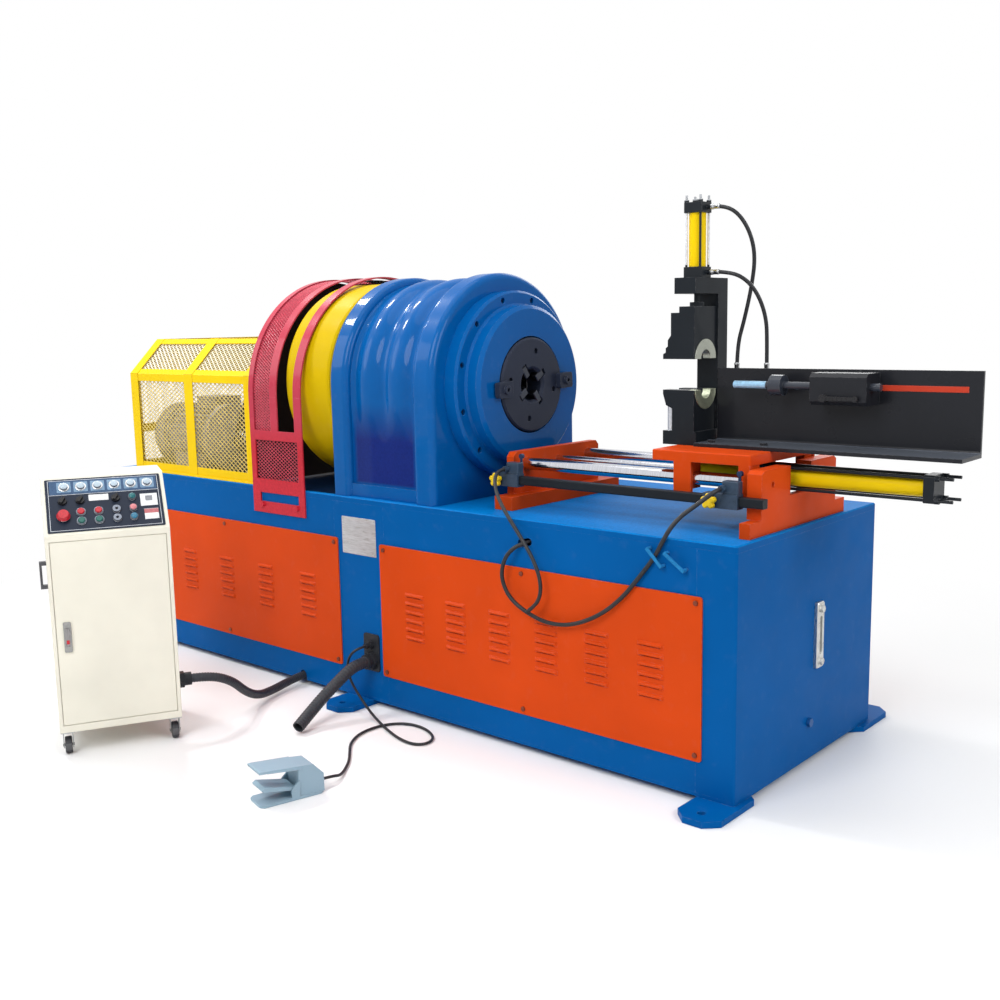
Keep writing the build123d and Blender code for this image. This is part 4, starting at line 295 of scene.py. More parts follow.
def bare_metal(name, colour, rough, marking=(600.0, 40.0, 40.0), stain=0.12, zones=()):
    """Machined steel: tool marks with marking as their scale along X, Y and Z, and faint oil stains."""
    s = Shader(name)
    place = s.node("ShaderNodeMapping", {"Vector": s.place, "Scale": marking}).outputs[0]
    marks = s.noise(1.0, 2.0, 0.5, place)
    base = s.clouded(marks, colour, 0.80, 1.12)
    base = s.mix(s.ramp(s.noise(14.0, 5.0, 0.6), 0.55, 0.8, 0.0, stain), base, tint(colour, 0.45))
    shine = s.ramp(marks, *NOISE_SPREAD, rough * 0.7, rough * 1.35)
    metal = 1.0
    for mask_of, zone_colour, zone_rough, zone_metal in zones:
        mask = mask_of(s)
        base = s.mix(mask, base, zone_colour)
        shine = s.blend(mask, shine, zone_rough)
        metal = s.blend(mask, metal, zone_metal)
    s.set(Base_Color=base, Metallic=metal, Roughness=shine)
    s.set(Normal=s.bump(marks, MARK_DEPTH, 0.4, s.edges(METAL_EDGE)[0]))
    return s.material


def plastic(name, colour, rough, grain=0.00006, coat=0.0, zones=()):
    """Moulded plastic or rubber with a fine matt grain."""
    s = Shader(name)
    base = s.clouded(s.noise(60.0, 4.0), colour, 0.84, 1.14)
    shine = s.ramp(s.noise(140.0), *NOISE_SPREAD, rough * 0.8, rough * 1.25)
    metal = 0.0
    for mask_of, zone_colour, zone_rough, zone_metal in zones:
        mask = mask_of(s)
        base = s.mix(mask, base, zone_colour)
        shine = s.blend(mask, shine, zone_rough)
        metal = s.blend(mask, metal, zone_metal)
    s.set(Base_Color=base, Roughness=shine, Coat_Weight=coat, Specular_IOR_Level=0.25)
    if metal:
        s.set(Metallic=metal)
    s.set(Normal=s.bump(s.noise(900.0, 2.0), grain, 0.6, s.edges(PLASTIC_EDGE)[0]))
    return s.material


def lens(name, colour):
    """Coloured cap of a lamp or button, slightly uneven."""
    s = Shader(name)
    base = s.mix(s.ramp(s.noise(220.0, 2.0), 0.35, 0.65), tint(colour, 0.86), tint(colour, 1.08))
    s.set(Base_Color=base, Roughness=0.24, Coat_Weight=0.2, Specular_IOR_Level=0.3)
    s.set(Normal=s.bump(s.noise(500.0, 2.0), CAP_DEPTH, 0.5))
    return s.material


def mesh_paint(name, colour, crown=None):
    """Thin enamel of expanded metal; crown is its paler colour above the cage's knee."""
    s = Shader(name)
    base = s.clouded(s.noise(40.0), colour, 0.80, 1.12)
    if crown:
        base = s.mix(s.ramp(s.height(), 1.26, 1.29), base, crown)
    s.set(Base_Color=base, Roughness=0.38)
    s.set(Normal=s.bump(s.noise(700.0, 2.0), MESH_DEPTH, 0.5))
    return s.material


# Pieces


def finish_mesh(bm, name, material, body, smooth_angle):
    """Turn a bmesh into a piece that rides on a body, if one is given. Faces that meet at less than
    smooth_angle degrees shade as one."""
    mesh = bpy.data.meshes.new(name)
    bm.normal_update()
    bm.to_mesh(mesh)
    bm.free()
    piece = bpy.data.objects.new(name, mesh)
    bpy.context.collection.objects.link(piece)
    mesh.materials.append(material)
    mesh.shade_smooth()
    mesh.set_sharp_from_angle(angle=math.radians(smooth_angle))
    if body:
        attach(piece, body)
    return piece


def ring_of(bm, centre, first, second, radius, sides):
    """Vertices of a circle about a centre, in the plane of two directions."""
    turns = [2 * math.pi * k / sides for k in range(sides)]
    return [bm.verts.new(centre + (first * math.cos(a) + second * math.sin(a)) * radius) for a in turns]


def bridge(bm, low, high):
    """Faces between two closed rings of vertices."""
    for k in range(len(low)):
        n = (k + 1) % len(low)
        bm.faces.new((low[k], low[n], high[n], high[k]))


# Camera at the photograph's angle

CAMERA_AT = (3.2865, -3.3482, 1.4709)
CAMERA_YAW, CAMERA_PITCH, CAMERA_ROLL = (math.radians(turn) for turn in (41.284, 8.882, -1.110))
CAMERA_LENS, CAMERA_SENSOR, CAMERA_REACH = 40.495, 36.0, 200


def set_camera():
    back = Vector((math.sin(CAMERA_YAW) * math.cos(CAMERA_PITCH), -math.cos(CAMERA_YAW) * math.cos(CAMERA_PITCH),
                   math.sin(CAMERA_PITCH)))
    right = Vector((math.cos(CAMERA_YAW), math.sin(CAMERA_YAW), 0))
    up = back.cross(right)
    across = right * math.cos(CAMERA_ROLL) + up * math.sin(CAMERA_ROLL)
    upward = up * math.cos(CAMERA_ROLL) - right * math.sin(CAMERA_ROLL)
    data = bpy.data.cameras.new("photo_camera")
    data.sensor_width = CAMERA_SENSOR
    data.lens = CAMERA_LENS
    data.clip_end = CAMERA_REACH
    camera = bpy.data.objects.new("photo_camera", data)
    axes = Matrix((across, upward, back)).transposed().to_4x4()
    camera.matrix_world = Matrix.Translation(CAMERA_AT) @ axes
    bpy.context.collection.objects.link(camera)
    bpy.context.scene.camera = camera


set_camera()

# Cords: each follows the route of its solid, as one smooth spline

ROUTE_STEPS, FINE_STEPS = 10, 24
CONDUIT_SIDES = 20
RING_DEPTHS = (0.0, 0.35, 1.0, 0.35)
BORE_SHARE, BORE_DEPTH = 0.82, 0.03


def route(name, points):
    """Open spline of order 3 with the route's points as its controls."""
    data = bpy.data.curves.new(name, "CURVE")
    data.dimensions = "3D"
    data.resolution_u = ROUTE_STEPS
    spline = data.splines.new("NURBS")
    spline.points.add(len(points) - 1)
    for control, point in zip(spline.points, points):
        control.co = (*point, 1.0)
    spline.order_u = 3
    spline.use_endpoint_u = True
    return data


def cable(name, points, radius, material, body, node):
    """Smooth round cord along the route's spline."""
    data = route(name, points)
    data.bevel_depth = radius
    data.bevel_resolution = 5
    data.use_fill_caps = True
    data.materials.append(material)
    piece = bpy.data.objects.new(name, data)
    bpy.context.collection.objects.link(piece)
    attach(piece, body)
    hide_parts(node)


def spline_points(name, points):
    """Points read off the route's smooth spline."""
    data = route(name, points)
    data.resolution_u = FINE_STEPS
    holder = bpy.data.objects.new(name, data)
    bpy.context.collection.objects.link(holder)
    line = bpy.data.meshes.new_from_object(holder)
    found = [v.co.copy() for v in line.vertices]
    bpy.data.objects.remove(holder)
    bpy.data.meshes.remove(line)
    return found


def even_steps(points, step):
    """Stations at equal distances along a line of points."""
    stations = [points[0].copy()]
    left = step
    for a, b in zip(points, points[1:]):
        run = (b - a).length
        while run >= left:
            a = a + (b - a) * (left / run)
            stations.append(a.copy())
            run = (b - a).length
            left = step
        left -= run
    return stations


def corrugated(name, points, radius, pitch, depth, material, body, node,
               closed_end, follow=None):
    """Flexible conduit: rings of alternating radius along the route's spline. When follow is given, the piece
    rides on no body and its place is baked in; the body and stretch that follow names are not used."""
    line = spline_points(name + "_line", points)
    stations = even_steps(line, pitch / len(RING_DEPTHS))
    bm = bmesh.new()
    normal = (stations[1] - stations[0]).orthogonal().normalized()
    rings = []
    for i, here in enumerate(stations):
        ahead = stations[min(i + 1, len(stations) - 1)] - stations[max(i - 1, 0)]
        ahead.normalize()
        normal = (normal - ahead * normal.dot(ahead)).normalized()
        r = radius - depth * RING_DEPTHS[i % len(RING_DEPTHS)]
        rings.append(ring_of(bm, here, normal, ahead.cross(normal), r, CONDUIT_SIDES))
    for first, second in zip(rings, rings[1:]):
        bridge(bm, first, second)
    bm.faces.new(list(reversed(rings[0])))
    if closed_end:
        bm.faces.new(rings[-1])
    else:
        # Bare end: the wall turns in and a dark bore shows
        heading = (stations[-1] - stations[-3]).normalized()
        inward = [stations[-1] + (v.co - stations[-1]) * BORE_SHARE for v in rings[-1]]
        lip = [bm.verts.new(p) for p in inward]
        deep = [bm.verts.new(p - heading * BORE_DEPTH) for p in inward]
        bridge(bm, rings[-1], lip)
        bridge(bm, lip, deep)
        bm.faces.new(deep)
    piece = finish_mesh(bm, name, material, None if follow else body, 60)
    if follow:
        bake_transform(piece)
    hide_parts(node)


CONDUIT = plastic("conduit_rubber", (0.030, 0.033, 0.040), 0.42, 0.00008)
CABLE = plastic("cable_rubber", (0.022, 0.023, 0.026), 0.40, 0.00005)
HOSE = plastic("hose_rubber", (0.018, 0.019, 0.022), 0.36, 0.00007)

SUPPLY = [cab(253, 30, 207), cab(323, 30, 207)] + [mm(*p) for p in (
    (-168, -960, 168), (-208, -872, 92), (-262, -775, 40), (-306, -670, 27), (-330, -575, 32),
    (-335, -505, 38), (-335, -440, 38))]
corrugated("supply_conduit_ribbed", SUPPLY, radius=0.017, pitch=0.010, depth=0.0016, material=CONDUIT,
           body="machine", node="supply_conduit",
           closed_end=True)

STUB = [mm(*p) for p in (
    (100, -530, 184), (100, -570, 184), (98, -614, 171), (93, -664, 140), (88, -730, 100), (94, -806, 56),
    (116, -884, 25))]
corrugated("stub_conduit_ribbed", STUB, radius=0.023, pitch=0.012, depth=0.0020, material=CONDUIT,
           body="machine", node="stub_conduit",
           closed_end=False)

PEDAL_LEAD = [mm(*p) for p in (
    (100, -530, 247), (100, -552, 247), (92, -572, 240), (76, -584, 222), (62, -588, 190), (60, -586, 150),
    (76, -580, 104), (122, -580, 58), (196, -596, 18), (290, -632, 6), (410, -683, 6), (500, -704, 6),
    (548, -694, 6), (566, -660, 6), (548, -616, 6), (500, -582, 6), (440, -562, 6), (370, -564, 6),
    (318, -604, 6), (296, -670, 6), (302, -756, 6), (350, -838, 6), (414, -896, 6), (474, -952, 6),
    (526, -1020, 7), (555, -1064, 14))] + [pedal(162, 0, 26), pedal(122, 0, 26)]
cable("pedal_lead", PEDAL_LEAD, radius=0.005, material=CABLE, body="machine", node="pedal_cable")

# The switch cables are smooth: rings of one radius.
SWITCH_LEAD = [mm(*p) for p in (
    (905, -462, 748), (870, -500, 735), (838, -524, 706), (816, -530, 660), (810, -527, 606), (842, -523, 546),
    (916, -521, 507), (1005, -520, 484), (1105, -518, 494), (1214, -516, 544), (1297, -510, 612),
    (1361, -503, 692), (1412, -499, 757), (1441, -503, 808), (1462, -488, 854), (1484, -462, 888),
    (1510, -440, 912), (1540, -418, 940), (1560, -392, 962), (1560, -366, 962))]
corrugated("switch_lead_right", SWITCH_LEAD, radius=0.007, pitch=0.020, depth=0.0, material=CABLE,
           body="machine", node="switch_cables",
           closed_end=True,
           follow=("switch_right", mm(1412, -499, 757), mm(1556, -396, 958)))

BRANCH_LEAD = [mm(*p) for p in (
    (690, -366, 962), (690, -390, 962), (692, -414, 948), (706, -436, 924), (738, -462, 890), (790, -490, 850),
    (848, -512, 806), (906, -526, 756), (958, -536, 700), (988, -539, 642), (992, -539, 588), (968, -538, 544),
    (922, -536, 512))]
corrugated("switch_lead_left", BRANCH_LEAD, radius=0.0065, pitch=0.020, depth=0.0, material=CABLE,
           body="machine", node="switch_cables",
           closed_end=True,
           follow=("switch_left", mm(820, -502, 826), mm(691, -402, 956)))

HOSE_UPPER = [mm(*p) for p in (
    (1337, -52, 1836), (1377, -52, 1836), (1424, -40, 1812), (1458, -20, 1750), (1466, 2, 1672), (1444, 20, 1576),
    (1412, 32, 1468), (1384, 38, 1386), (1384, 38, 1300))]
cable("clamp_hose_upper", HOSE_UPPER, radius=0.0065, material=HOSE, body="carriage", node="clamp_hoses")

HOSE_LOWER = [mm(*p) for p in (
    (1337, -52, 1627), (1377, -52, 1627), (1438, -36, 1612), (1480, -10, 1560), (1500, 18, 1478), (1494, 38, 1392),
    (1494, 38, 1300))]
cable("clamp_hose_lower", HOSE_LOWER, radius=0.0065, material=HOSE, body="carriage", node="clamp_hoses")

# Expanded metal of the guards: how far the sheets lie inside the frame and lap over it, and their sizes

STRAND_FLAT, STRAND_TILT = 0.80, 0.60
MESH_INSET, MESH_LAP, MESH_END_LAP = 0.0065, 0.02, 0.016
WALL_MESH_Z, WALL_MESH_TALL = 1.0515, 0.395
SLOPE_MESH_TALL, TOP_MESH_WIDE, END_MESH_WIDE = 0.178, 0.600, 0.868
ARCH_MESH_WIDE = 0.126
APRON_AT, APRON_WIDE, APRON_TALL = Vector((-0.4360, -0.4890, 0.9335)), 0.290, 0.180


def expanded(bm, width, height, place, long_way=0.030, short_way=0.020, strand=0.0017):
    """Diamond mesh over a rectangle; place turns (across, up) into a point and the sheet's normal."""
    half_l = long_way / 2
    half_s = short_way / 2
    columns = int(width / half_l)
    rows = int(height / half_s)
    across0 = -columns * half_l / 2
    up0 = -rows * half_s / 2
    for j in range(rows):
        for i in range(columns):
            lean = 1 if (i + j) % 2 == 0 else -1
            start, stop = (j, j + 1) if lean > 0 else (j + 1, j)
            a, normal = place(across0 + i * half_l, up0 + start * half_s)
            b = place(across0 + (i + 1) * half_l, up0 + stop * half_s)[0]
            side = normal.cross((b - a).normalized())
            side = (side * STRAND_FLAT + normal * STRAND_TILT * lean) * strand
            bm.faces.new([bm.verts.new(p) for p in (a - side, b - side, b + side, a + side)])


def flat_place(origin, across, up):
    across = across.normalized()
    up = up.normalized()
    normal = across.cross(up)

    def place(s, t):
        return origin + across * s + up * t, normal

    return place


def arch_place(s, t):
    """Over the arched guard: s across it, t along it from the middle of its run."""
    near = GUARD_Z - GUARD_FOOT
    run = t + (near + GUARD_R * GUARD_OVER) / 2
    centre = Vector((GUARD_X + s, GUARD_Y, GUARD_Z))
    if run < near:
        return centre + Vector((0, -GUARD_R, run - near)), -Y_DIR
    angle = (run - near) / GUARD_R
    outward = Vector((0, -math.cos(angle), math.sin(angle)))
    return centre + outward * GUARD_R, outward


def cage_mesh():
    bm = bmesh.new()
    slope = CAGE_CUT / 2
    for x0, x1 in CAGE_BAYS:
        mid = (x0 + x1) / 2
        wide = x1 - x0 + MESH_LAP
        for side in (-1, 1):
            wall = Vector((mid, side * (CAGE_HALF - MESH_INSET), WALL_MESH_Z))
            expanded(bm, wide, WALL_MESH_TALL, flat_place(wall, X_DIR * -side, Z_DIR))
            fold = Vector((mid, side * (CAGE_HALF - slope), CAGE_KNEE + slope))
            fold = fold - Vector((0, side, 1)).normalized() * MESH_INSET
            expanded(bm, wide, SLOPE_MESH_TALL, flat_place(fold, X_DIR * -side, Vector((0, -side, 1))))
        top = Vector((mid, 0, CAGE_TOP - MESH_INSET))
        expanded(bm, wide, TOP_MESH_WIDE, flat_place(top, X_DIR, Y_DIR))
    for z0, z1 in CAGE_END_BAYS:
        end = Vector((CAGE_END_X, 0, (z0 + z1) / 2))
        expanded(bm, END_MESH_WIDE, z1 - z0 + MESH_END_LAP, flat_place(end, -Y_DIR, Z_DIR))
    material = mesh_paint("cage_mesh_paint", MESH_YELLOW, MESH_CROWN)
    piece = finish_mesh(bm, "cage_expanded_mesh", material, "machine", 20)
    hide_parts("guard_meshes")


def guard_mesh():
    bm = bmesh.new()
    run = GUARD_Z - GUARD_FOOT + GUARD_R * GUARD_OVER
    expanded(bm, ARCH_MESH_WIDE, run, arch_place, long_way=0.020, short_way=0.012, strand=0.0026)
    expanded(bm, APRON_WIDE, APRON_TALL, flat_place(APRON_AT, X_DIR, Z_DIR), long_way=0.024, short_way=0.015,
             strand=0.0014)
    material = mesh_paint("guard_mesh_paint", tint(RED, 1.10))
    piece = finish_mesh(bm, "guard_expanded_mesh", material, "machine", 20)
    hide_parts("guard_meshes")


cage_mesh()
guard_mesh()

# Finishes of the CAD nodes. The boxes and limits part pieces of other colours off their nodes, and mark painted
# shade, sheen and highlight on them

DECK_SHEEN_BAND = (0.80, 0.83)
SHADE_UNDER_COVERS = ((-1.60, -0.47, 0.8), (-0.08, 0.47, 0.83))
CABLE_STRAPS = ((1.35, -0.52, 0.70), (1.56, -0.4921, 0.80))
GUARD_FADE = (1.10, 0.98)
RECESS_SOFT, RECESS_FADE, RECESS_FOOT = 0.031, (1.185, 1.045), (0.870, 0.882)
FORK_TOP, SHELL_HALF, DOOR_FACE = 0.0848, 0.2075, -0.0005
PALE_END = 0.118
TROUGH_HIGHLIGHT_BAND = (1.05, 1.20)
TIE_ROD_Z, TIE_END_Z = (1.652, 1.818), (1.858, 1.900)
TIE_X, TIE_Y = (1.20, 1.45), (-0.2, 0.1)
DECK_TOP = 0.82
HUB_BAND = (0.018, 0.042)
GAUGE_GLASS = ((1.6, -0.012, 0.44), (1.8, 0.012, 0.64))
PLUG_TOP = 0.30
PLATE_BAND, FITTING_BAND = (3.05, 4.5), (4.5, 30.0)


def low_corner(node):
    """Least corner of a CAD node."""
    corners = [NODES[node].matrix_world @ Vector(c) for c in NODES[node].bound_box]
    return [min(c[i] for c in corners) for i in range(3)]


JAW_X = low_corner("upper_jaw")[0]
BAR_X = low_corner("stop_bar")[0]
CLAMP_X, CLAMP_Y = JAW_X + 0.087, AXIS_Y
STEEL_COLUMN = ((JAW_X + 0.004, -0.119, 1.050), (JAW_X + 0.0335, -0.089, 1.1872))


def head_recess_shade(s):
    """Painted shade: soft dark patch low between the headstock's end plates."""
    split = s.node("ShaderNodeSeparateXYZ", {0: s.place})
    left = s.ramp(split.outputs[0], RIB_X0, RIB_X0 + RECESS_SOFT)
    right = s.ramp(split.outputs[0], RIB_X1, RIB_X1 - RECESS_SOFT)
    low = s.ramp(split.outputs[2], *RECESS_FADE)
    off = s.ramp(split.outputs[2], *RECESS_FOOT)
    return s.both(s.both(left, right), s.both(low, off))


def tie_zone(s, z_band, x_high=TIE_X[1], y_low=TIE_Y[0]):
    """Tie rods or their ends between two heights, round the clamp cylinder or in one half of it."""
    return s.box((TIE_X[0], y_low, z_band[0]), (x_high, TIE_Y[1], z_band[1]))


def at_panel(s, x, y, half_x, half_y):
    """Mask of a rectangle on the control panel, in mm."""
    across = s.along(CAB_U, panel(x, y, 0))
    up = s.along(PANEL_UP, panel(x, y, 0))
    return s.both(s.inside(across, -half_x / 1000, half_x / 1000), s.inside(up, -half_y / 1000, half_y / 1000))


def raised(s, band):
    """Mask of what lies between two heights over the control panel's back, in mm."""
    return s.inside(s.along(PANEL_N, PANEL_O), band[0] / 1000, band[1] / 1000)


YELLOW_PAINT = paint("cage_yellow", YELLOW, 0.32, gloss=0.08)
WHEEL_PAINT = paint("wheel_yellow", tint(YELLOW, 0.74), 0.38, coat=0.03, gloss=0.02)
RED_PAINT = paint("guard_red", RED, 0.28, coat=0.20, gloss=0.06, zones=(
    (lambda s: s.ramp(s.height(), *GUARD_FADE), DEEP_RED, 0.30, 0.0),
))
BLUE_PAINT = paint("bed_blue", BLUE, 0.34, gloss=0.03, zones=(
    # Painted sheen: the bed's level top lighter blue than its sides
    (lambda s: s.facing_up(*DECK_SHEEN_BAND), DECK_SHEEN_BLUE, 0.50, 0.0),
    # Painted shade: deck darkened under the motor cage and the flywheel guard
    (lambda s: s.box(*SHADE_UNDER_COVERS), SHADED_BLUE, 0.45, 0.0),
    (lambda s: s.box(*CABLE_STRAPS), STRAP_BLUE, 0.40, 0.0),
))
ORANGE_PAINT = paint("panel_orange", ORANGE, 0.38, gloss=0.05)
HEAD_PAINT = paint("head_blue", BLUE, 0.32, coat=0.24, gloss=0.02, zones=(
    # Painted shade in the recess low on the headstock
    (head_recess_shade, RECESS_SHADE_BLUE, 0.40, 0.0),
))
CREAM_PAINT = paint("cabinet_cream", CREAM, 0.40, zones=(
    (lambda s: s.below(s.height(), FORK_TOP), ZINC, 0.34, 0.9),
    (lambda s: s.above(s.along(CAB_U, CAB_O), SHELL_HALF), (0.02, 0.022, 0.026), 0.40, 0.0),
    (lambda s: s.below(s.along(CAB_U, CAB_O), -SHELL_HALF), (0.10, 0.10, 0.11), 0.35, 0.6),
))
DOOR_PAINT = paint("door_cream", CREAM, 0.40, zones=(
    (lambda s: s.below(s.along(CAB_V, cab(0, -30, 0)), DOOR_FACE), (0.34, 0.34, 0.33), 0.35, 0.8),
))
BLACK_PAINT = paint("tower_black", BLACK, 0.36, coat=0.05, gloss=0.10)
TOWER_PAINT = paint("frame_black", BLACK, 0.36, coat=0.05, gloss=0.10, zones=(
    (lambda s: s.box(*STEEL_COLUMN), (0.60, 0.62, 0.66), 0.30, 0.6),
))
STOP_PAINT = paint("stop_bar_iron", (0.030, 0.036, 0.050), 0.26, coat=0.10, gloss=0.3, zones=(
    (lambda s: s.below(s.along((1, 0, 0), (BAR_X, 0, 0)), PALE_END), PALE_BLUE, 0.30, 0.3),
))
CYLINDER_PAINT = paint("cylinder_black", BLACK, 0.34, coat=0.06, zones=(
    (lambda s: tie_zone(s, TIE_ROD_Z, x_high=CLAMP_X), TIE_ROD, 0.45, 0.3),
    (lambda s: tie_zone(s, TIE_ROD_Z, y_low=CLAMP_Y), TIE_ROD, 0.45, 0.3),
    (lambda s: tie_zone(s, TIE_END_Z), (0.36, 0.37, 0.39), 0.45, 0.4),
))
TROUGH_PAINT = paint("trough_black", (0.013, 0.014, 0.018), 0.30, coat=0.08, zones=(
    # Painted highlight: level faces of the trough lighter grey
    (lambda s: s.facing_up(*TROUGH_HIGHLIGHT_BAND), (0.075, 0.085, 0.105), 0.30, 0.0),
))
CAST = paint("die_head_black", IRON, 0.40)
GREY_PAINT = paint("motor_grey", GREY, 0.40)
PEDAL = paint("pedal_slate", (0.285, 0.405, 0.490), 0.42)
PANEL = paint("panel_navy", NAVY, 0.36, zones=(
    (lambda s: at_panel(s, 0, 76, 180, 30), (0.052, 0.100, 0.190), 0.36, 0.0),
    (lambda s: raised(s, PLATE_BAND), (0.80, 0.81, 0.82), 0.35, 0.0),
    (lambda s: s.both(raised(s, PLATE_BAND), at_panel(s, 152, -50, 24, 9)), (0.50, 0.16, 0.17), 0.35, 0.0),
    (lambda s: s.both(raised(s, PLATE_BAND), at_panel(s, 148, 6, 12, 11)), (0.26, 0.27, 0.29), 0.30, 0.0),
    (lambda s: raised(s, FITTING_BAND), (0.20, 0.22, 0.26), 0.36, 0.5),
))
RED_STRIP = paint("strip_red", (0.50, 0.045, 0.020), 0.36)

RINGED = (60.0, 400.0, 400.0)
SHAFT = bare_metal("shaft_steel", STEEL, 0.25)
CHROME = bare_metal("chrome_rod", (0.66, 0.67, 0.72), 0.12, (900.0, 8.0, 8.0), 0.05)
DIE = bare_metal("die_steel", (0.42, 0.44, 0.38), 0.42, RINGED)
LOWER_DIE = bare_metal("lower_die_steel", (0.58, 0.62, 0.46), 0.44, RINGED)
INSERT = bare_metal("insert_steel", (0.055, 0.060, 0.075), 0.40, RINGED)
SCREW = bare_metal("screw_zinc", (0.30, 0.31, 0.33), 0.36, zones=(
    (lambda s: s.above(s.height(), DECK_TOP), (0.004, 0.020, 0.070), 0.4, 0.3),
    (lambda s: s.below(s.height(), DECK_TOP), (0.200, 0.040, 0.015), 0.4, 0.4),
))
LOCK = bare_metal("lock_satin", (0.30, 0.29, 0.29), 0.34)
GAUGE = bare_metal("gauge_frame", (0.62, 0.62, 0.60), 0.32, zones=(
    (lambda s: s.box(*GAUGE_GLASS), (0.20, 0.17, 0.07), 0.12, 0.0),
    (lambda s: s.below(s.height(), PLUG_TOP), tint(BLUE, 0.8), 0.40, 0.0),
))
PLATE_METAL = bare_metal("plate_metal", (0.60, 0.62, 0.64), 0.38, (30.0, 400.0, 400.0), 0.06)
CRIMP = bare_metal("crimp_zinc", (0.50, 0.51, 0.52), 0.26)

BELT = plastic("belt_rubber", (0.016, 0.016, 0.017), 0.55)
SWITCH = plastic("switch_body", SLATE, 0.34)
KNOB = plastic("knob_yellow", (0.80, 0.54, 0.01), 0.30, coat=0.1)
GLAND = plastic("gland_black", (0.020, 0.022, 0.027), 0.40)
WHEEL = plastic("castor_rubber", (0.045, 0.045, 0.050), 0.45, zones=(
    (lambda s: s.inside(s.height(), *HUB_BAND), (0.10, 0.10, 0.105), 0.35, 0.2),
))
BLACK_KNOB = plastic("selector_black", (0.014, 0.014, 0.016), 0.28)
LINE_WHITE = plastic("panel_line", (0.62, 0.65, 0.70), 0.40)
LAMP_BACK = plastic("lamp_back", (0.190, 0.300, 0.430), 0.36)
# Painted shade: near black for the guard's inner sheets, which lie in shadow
GUARD_SHADE_DARK = plastic("guard_painted_shade", (0.020, 0.016, 0.018), 0.5)

RED_BUTTON = lens("button_red", (0.50, 0.012, 0.024))
GREEN_BUTTON = lens("button_green", (0.006, 0.110, 0.090))
LAMP_WHITE = lens("lamp_white", (0.46, 0.56, 0.64))
LAMP_TEAL = lens("lamp_teal", (0.004, 0.125, 0.140))
LAMP_PINK = lens("lamp_pink", (0.640, 0.210, 0.230))
LAMP_BLUE = lens("lamp_blue", (0.030, 0.170, 0.280))

FINISHES = {
    "bed_frame": BLUE_PAINT, "side_panels": ORANGE_PAINT, "screws": SCREW, "hydraulic_unit": GREY_PAINT,
    "oil_gauge": GAUGE, "headstock": HEAD_PAINT, "front_cover": HEAD_PAINT, "spindle": SHAFT,
    "spindle_bearings": SHAFT, "die_head": CAST, "die_inserts": INSERT, "flywheel": WHEEL_PAINT,
    "belt_pulley": SHAFT, "drive_belts": BELT, "main_motor": GREY_PAINT, "motor_pulley": SHAFT,
    "motor_cage": YELLOW_PAINT, "belt_guard": RED_PAINT, "rail_brackets": ORANGE_PAINT, "guide_rods": CHROME,
    "carriage": ORANGE_PAINT, "cylinder_barrels": YELLOW_PAINT, "cylinder_heads": CYLINDER_PAINT,
    "clamp_frame": TOWER_PAINT, "upper_jaw": BLACK_PAINT, "upper_die": DIE, "lower_die": LOWER_DIE,
    "trough": TROUGH_PAINT, "stop_bar": STOP_PAINT, "stop_lever": BLACK_KNOB, "switch_rail": BLACK_PAINT,
    "switch_left": SWITCH, "switch_right": SWITCH, "lever_left": SCREW, "lever_right": SCREW,
    "knob_left": KNOB, "knob_right": KNOB, "cabinet_shell": CREAM_PAINT, "cabinet_door": DOOR_PAINT,
    "door_lock": LOCK, "control_panel": PANEL, "stop_mushroom": RED_BUTTON, "stop_button_1": RED_BUTTON,
    "stop_button_2": RED_BUTTON, "start_button_1": GREEN_BUTTON, "start_button_2": GREEN_BUTTON,
    "selector_1": BLACK_KNOB, "selector_2": BLACK_KNOB, "selector_3": BLACK_KNOB, "wheels_front": WHEEL,
    "wheels_rear": WHEEL, "pedal_base": PEDAL, "pedal_tread": PEDAL, "post_glands": GLAND,
}
for node, material in FINISHES.items():
    NODES[node].data.materials.clear()
    NODES[node].data.materials.append(material)

# Sheets of the headstock, the cage and the arched guard that the solids don't have

SKIRT_TOP, SKIRT_FOOT, SKIRT_R, SKIRT_LIFT = 1.2432, 0.8702, 0.392, 0.0006
SKIRT_ROWS, SKIRT_COLUMNS = 32, 72
RIBS_END_Z, RIBS_FADE = 1.02, 0.20
STRIP_LIFTS = (0.0003, 0.0018)
BOX_CORNERS = ((-1, -1), (1, -1), (1, 1), (-1, 1))
BOX_FACES = ((0, 1, 2, 3), (4, 5, 6, 7), (0, 1, 5, 4), (1, 2, 6, 5), (2, 3, 7, 6), (3, 0, 4, 7))
LINER_X, LINER_R = (-0.430, -0.310), GUARD_R - 0.005
LINER_FROM, LINER_OVER, LINER_STEPS = 80, 26, 24
END_X, END_REACH, END_FOOT = (-0.6020, -0.5995), 0.4715, 0.8265
END_HOLE, END_FAR, END_SIDES, END_HALVINGS = 0.14, 1.0, 96, 30


def rib_radius(x):
    """Radius of the headstock's barrel: narrow valley, broad crest, in turn."""
    at = ((x - RIB_START) % RIB_PITCH) / RIB_PITCH
    if at < VALLEY_SHARE:
        return RIB_MEAN - (RIB_MEAN - RIB_VALLEY) * (1 - (at / (VALLEY_SHARE / 2) - 1) ** 2)
    across = (at - VALLEY_SHARE) / ((1 - VALLEY_SHARE) / 2) - 1
    return RIB_MEAN + (RIB_CREST - RIB_MEAN) * (1 - across ** 2)


